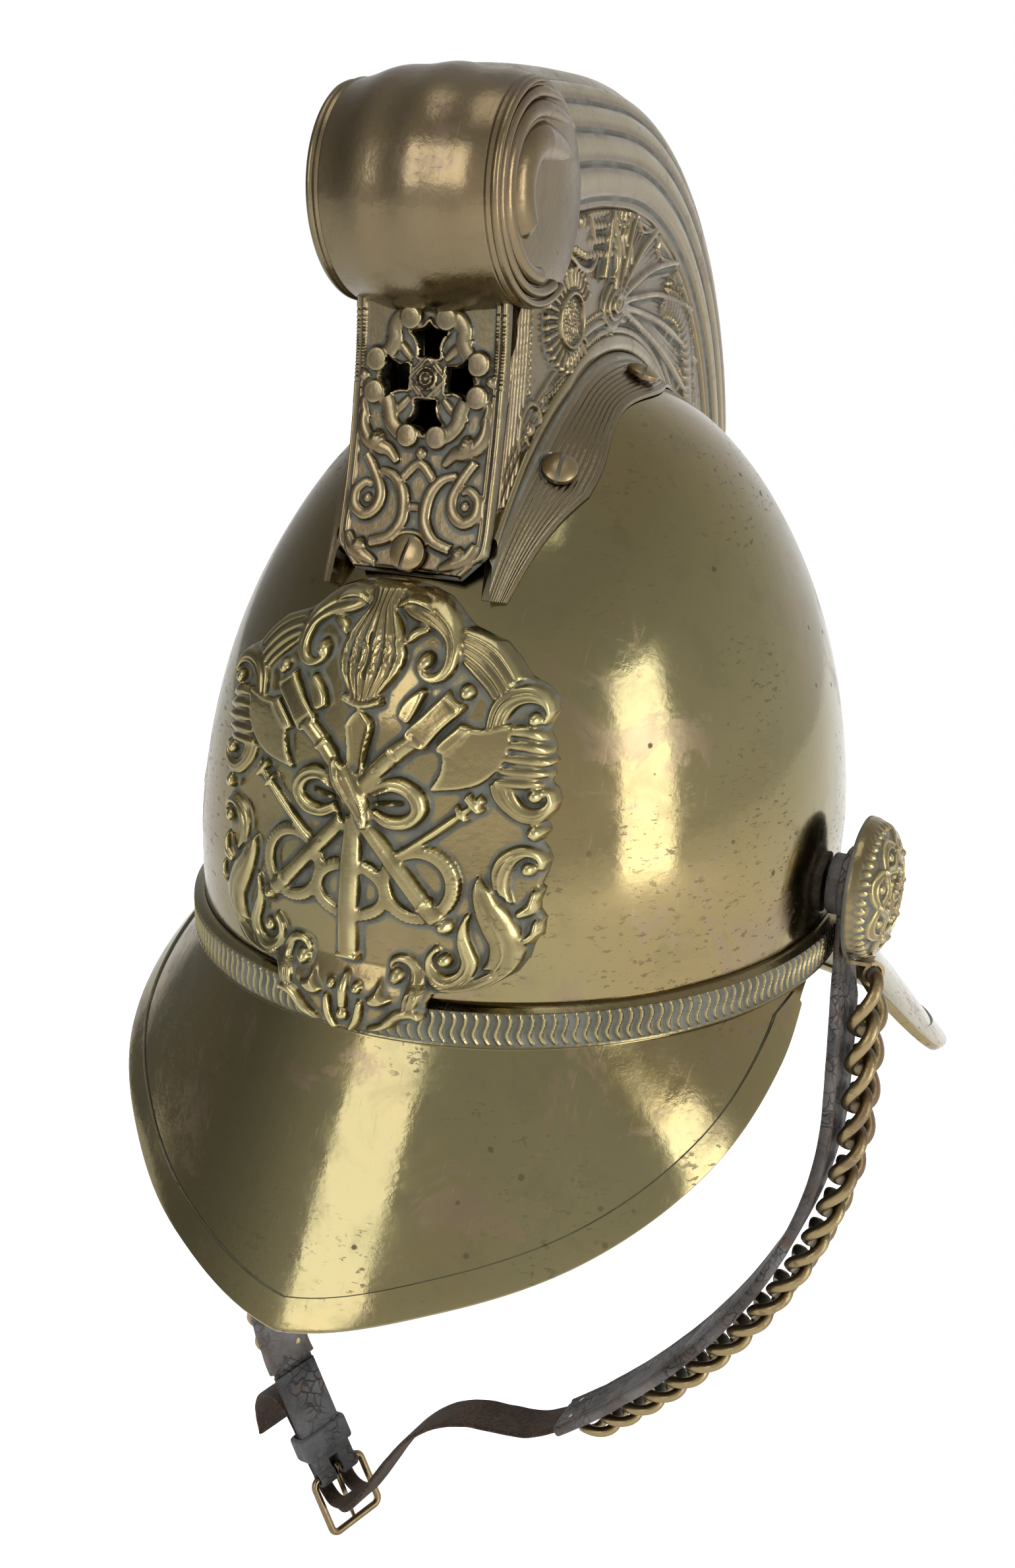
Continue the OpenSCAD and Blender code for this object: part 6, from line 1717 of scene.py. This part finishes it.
end_axes, end_at = right.frame(right.total)
left_axes, left_at = left.frame(left.total)
STRAP_OVER = 3.35 + SEAT + STRAP_T / 2
sag = [[8, -185.5], [-3, -187.5], [-14, -189], [-25, -194], [-35, -203], [-43, -215]]
round_buckle = [[50, -14], [52, -6], [52, 0.5], [48.5, 3.9], *([x, STRAP_OVER] for x in (43, 38, 32, 26, 21.5)),
    [16.5, 6.4], [12.5, 10.5], [11.5, 17], [14, 25], [21, 32.5], [31, 38]]
route = [left_at - k * left_axes[0] for k in (POCKET, 5, -2)] + [np.array([x, STUD_Y, z]) for x, z in sag]
route += [end_at + x * end_axes[0] + h * end_axes[2] for x, h in round_buckle]
u = np.linspace(0, 1, 400)
line = smooth(route, u)
along = unit(np.gradient(line, axis=0))
y_axis = np.array([0, 1.0, 0])
side_dir = unit(y_axis + (right.axes(np.array(1.0))[1] - y_axis) * np.minimum(1, 1.6 * u)[:, None])
out_dir = unit(np.cross(side_dir, along))
wide_dir = np.cross(along, out_dir)
share = np.unique(np.append(eased(39), [-4.4 / STRAP_W, 4.4 / STRAP_W]))[None, :]
distance = np.append(0, np.cumsum(np.linalg.norm(np.diff(line, axis=0), axis=1)))[:, None]
half = STRAP_W / 2 - 0.15 + 0.12 * np.sin(distance / 5.3 + 2 * np.sign(share)) + 0.06 * np.sin(distance / 1.3)
thick = (STRAP_T / 2 - 0.06) * np.maximum(1 - np.abs(share) ** 12, 0) ** 0.5
middle = line[:, None] + half[..., None] * share[..., None] * wide_dir[:, None]
top_face, low_face = middle + thick[..., None] * out_dir[:, None], middle - thick[..., None] * out_dir[:, None]
local = (line - end_at) @ end_axes[0]
lift = (line - end_at) @ end_axes[2]
in_slot = (local > LOOP_LEN + 2.3) & (lift < 5.2) & (lift > -2.2) & (u > 0.4)
slot = slot_cells(in_slot, share, STRAP_W / 2, 2.15)
strap_skin = pierced(top_face, low_face, ~slot, 0.5 + 0.3 * (np.abs(share) > 0.96) + 0 * middle[..., 0])
make_piece("suede end", strap_skin, brown_suede, "suede_strap", body="chin_strap", crease=60)

# %% Buckle, loop and keeper
BAR, SIDE_Y, FRAME_LEN, BEND = 1.28, STRAP_W / 2 + 1.4 + 1.3, 20, 2.4
EYE_R, PRONG_R, PRONG_LEN, PRONG_RISE = 2.13, 0.98, 19.0, 1.62
FOLD_R, LOOP_HALF_W, SLOT_HALF_W, KEEPER_AT, KEEPER_HALF = 2.43, 8, 1.9, 30, 4.5


def in_end(skin):
    """The skin put at the right leather's end: X down the strap, Y across, Z outwards."""
    return moved(skin, end_axes, end_at)


angle = np.radians(np.repeat([180, 270, 0, 90], 9) + np.tile(np.linspace(0, 90, 9), 4))
cx = LOOP_LEN + np.repeat([BEND, FRAME_LEN - BEND, FRAME_LEN - BEND, BEND], 9)
cy = (SIDE_Y - BEND) * np.repeat([-1, -1, 1, 1], 9)
ring = xyz(cx + BEND * np.cos(angle), cy + BEND * np.sin(angle), 0)
wire = tube(ring, BAR, [0, 0, 1.0], 18, closed=True, cavity=0.35)
make_piece("wire frame", in_end(wire), fitting_brass, "buckle_frame", body="buckle", crease=50)
turn, along_prong = full_turn(40), np.linspace(0, 1, 24)
eye = xyz(LOOP_LEN + EYE_R * np.cos(turn), 0, EYE_R * np.sin(turn))
eye_skin = tube(eye, 1.0, [0, 1.0, 0], 14, closed=True, section=lambda a: (np.cos(a), 0.58 * np.sin(a)), cavity=0.45)
blade = np.array([LOOP_LEN + 1.9, 0, 0.75]) + along_prong[:, None] * [PRONG_LEN, 0, PRONG_RISE]
blade_skin = tube(blade, PRONG_R * (1 - 0.42 * along_prong**3), [0, 1.0, 0], 16, cavity=0.3)
make_piece("wire prong", in_end(eye_skin + blade_skin), fitting_brass, "buckle_prong", body="prong", crease=50)
# The loop is one strip folded round the bar, with a slot for the prong; its tongue lies in the leather's split end
fold = np.radians(np.linspace(158, -158, 37))
leg = np.linspace([2, 0.93], [38.6, 0.9], 40)
path = np.concatenate([leg, ellipse(LOOP_LEN, 0, FOLD_R, FOLD_R, fold), leg[::-1] * [1, -1]])
slope = unit(np.gradient(path, axis=0))
normal = np.stack([-slope[:, 1], slope[:, 0]], -1)
share = np.unique(np.append(eased(27), np.array([-1, 1]) * SLOT_HALF_W / LOOP_HALF_W))[None, :]
thick = 0.84 * np.maximum(1 - np.abs(share) ** 14, 0) ** 0.5
faces = []
for s in (1, -1):
    p = path[:, None] + s * thick[..., None] * normal[:, None]
    faces.append(xyz(p[..., 0], LOOP_HALF_W * share, p[..., 1]))
near_bar = path[:, 0] > 36.5
slot = slot_cells(near_bar, share, LOOP_HALF_W, SLOT_HALF_W - 0.05)
loop_skin = pierced(faces[0], faces[1], ~slot, 0.5 + 0.25 * (np.abs(share) > 0.93) + 0 * faces[0][..., 0])
a = full_turn(24)[:, None]
tongue = xyz(np.linspace(-POCKET, 3.5, 12), 7.9 * squared(np.cos(a), 0.4), 0.85 * squared(np.sin(a), 0.4))
loop_skin = in_end(loop_skin + loft(tongue))
make_piece("stitched loop", loop_skin, loop_leather, "buckle_loop", body="chin_strap", crease=60)
a = full_turn(96)[None, :]
x = np.linspace(KEEPER_AT - KEEPER_HALF, KEEPER_AT + KEEPER_HALF, 22)[:, None]
half, low, high = (STRAP_W + 1) / 2 + 0.4, -STRAP_T - 0.4, STRAP_OVER + STRAP_T / 2 + 0.4


def keeper_face(grow):
    """Rounded rectangle round the strap's layers, grown outwards, with worn edges."""
    worn = 0.12 * np.sin(a * 3 + x) * ramp(np.abs(x - KEEPER_AT), 3.4, KEEPER_HALF)
    y = (half + grow) * squared(np.cos(a), 0.3)
    z = (high + low) / 2 + ((high - low) / 2 + grow) * squared(np.sin(a), 0.3)
    return xyz(x + worn, y, z)


bulged = 1.32 * np.sqrt(np.maximum(1 - (np.abs(x - KEEPER_AT) / KEEPER_HALF) ** 10, 0))
keeper_skin = shell(keeper_face(bulged + 0.02), keeper_face(0.02), ring=True)
make_piece("sliding keeper", in_end(keeper_skin), loop_leather, "keeper", body="keeper", crease=60)

# %% [markdown]
# ## Liner
# Inside, a headband stands off the skull on cork blocks, and eight leather tongues rise from it to the crown.

# %% Headband, tongues, washers and cork
LINER_LOW, LINER_HIGH, LINER_OUT, LINER_IN = 3, 43, -7.72, -9.66
turn = np.linspace(0, 360, 220, endpoint=False)[None, :]
z = np.linspace(LINER_LOW, LINER_HIGH, 30)[:, None]
roll_edge = 0.35 * ramp(np.abs(z - (LINER_LOW + LINER_HIGH) / 2), 18, 20)
sag = 0.18 * np.sin(np.radians(turn * 7)) * np.sin(z / 9)
band_out = skull_at(turn, z, LINER_OUT - roll_edge - np.abs(sag))
band_in = skull_at(turn, z, LINER_IN + roll_edge - 0.1 * np.abs(sag))
make_piece("sweatband", shell(band_out, band_in, ring=True), liner_leather, "headband", crease=60)
TONGUES = 8
middles = 360 * (np.arange(TONGUES) + 0.5) / TONGUES
v = np.linspace(0, 1, 40)[:, None]
across = eased(25)[None, :]
rounded = np.minimum(1, 0.55 + 0.45 * np.sqrt(np.maximum(0, 1 - ((v - 0.9) / 0.1).clip(0) ** 2)))
half = 18.75 * (1 - 0.12 * v - 0.2 * v * v) * rounded
z = 35 + 97 * v**0.8
edge = 0.8 * np.maximum(np.abs(across) ** 16, ((v - 0.5) * 2).clip(0) ** 30)
tongues = []
for k, middle in enumerate(middles):
    wave = 0.22 * np.sin(v * 9 + k) * np.cos(across * 2)
    outer_face = skull_at(middle + half * across, z, -10.02 - edge - np.abs(wave))
    inner_face = skull_at(middle + half * across, z, -11.98 + edge)
    tongues.append(shell(outer_face, inner_face, size=(1, 3)))
make_piece("crown tongues", joined(tongues), liner_leather, "liner_tongues", crease=60)
profile = [(2.8, 0.02), (8.2, 0.02), (8.5, 0.4), (8.5, 3.1), (8.2, 3.48), (2.8, 3.48), (2.8, 0.02)]
washer = moved(lathe(profile, 64), [[0, 1, 0], [0, 0, 1], [1, 0, 0]], [HALF_W + SEAT, STUD_Y, STUD_Z])
make_piece("stud washers", washer + mirrored(washer), strap_leather, "leather_washers", crease=50)
CORK_HALF, CORK_EDGE = (9, 7, 2.65), 0.2
a, b = np.meshgrid(np.linspace(-np.pi / 2, np.pi / 2, 25), full_turn(48), indexing="ij")
ca, sa, cb, sb = (squared(f(v), CORK_EDGE) for v in (a, b) for f in (np.cos, np.sin))
block = np.stack([CORK_HALF[0] * ca * cb, CORK_HALF[1] * ca * sb, CORK_HALF[2] * sa], -1)
block[[0, -1]] = block[[0, -1]].mean(1, keepdims=True)
blocks = []
for place in skull_at(middles, 17.0, -WALL):
    n = skull_normal(place)
    skin = Skin(block, grid_quads(numbers(block), False, True))
    blocks.append(moved(skin, axes_to(n), place - n * (SEAT + 0.3 + CORK_HALF[2])))
make_piece("cork blocks", joined(blocks), cork, "cork_spacers", crease=50)

# %% Small brass that keeps its CAD shape
carried = ["badge_studs", "badge_nuts", "comb_nuts", "rosette_studs", "rosette_nuts", "chain_hangers", "strap_rivets"]
for name in carried:
    node = bpy.data.objects[name]
    node.data.materials.clear()
    node.data.materials.append(fitting_brass)
print("carried over:", carried)
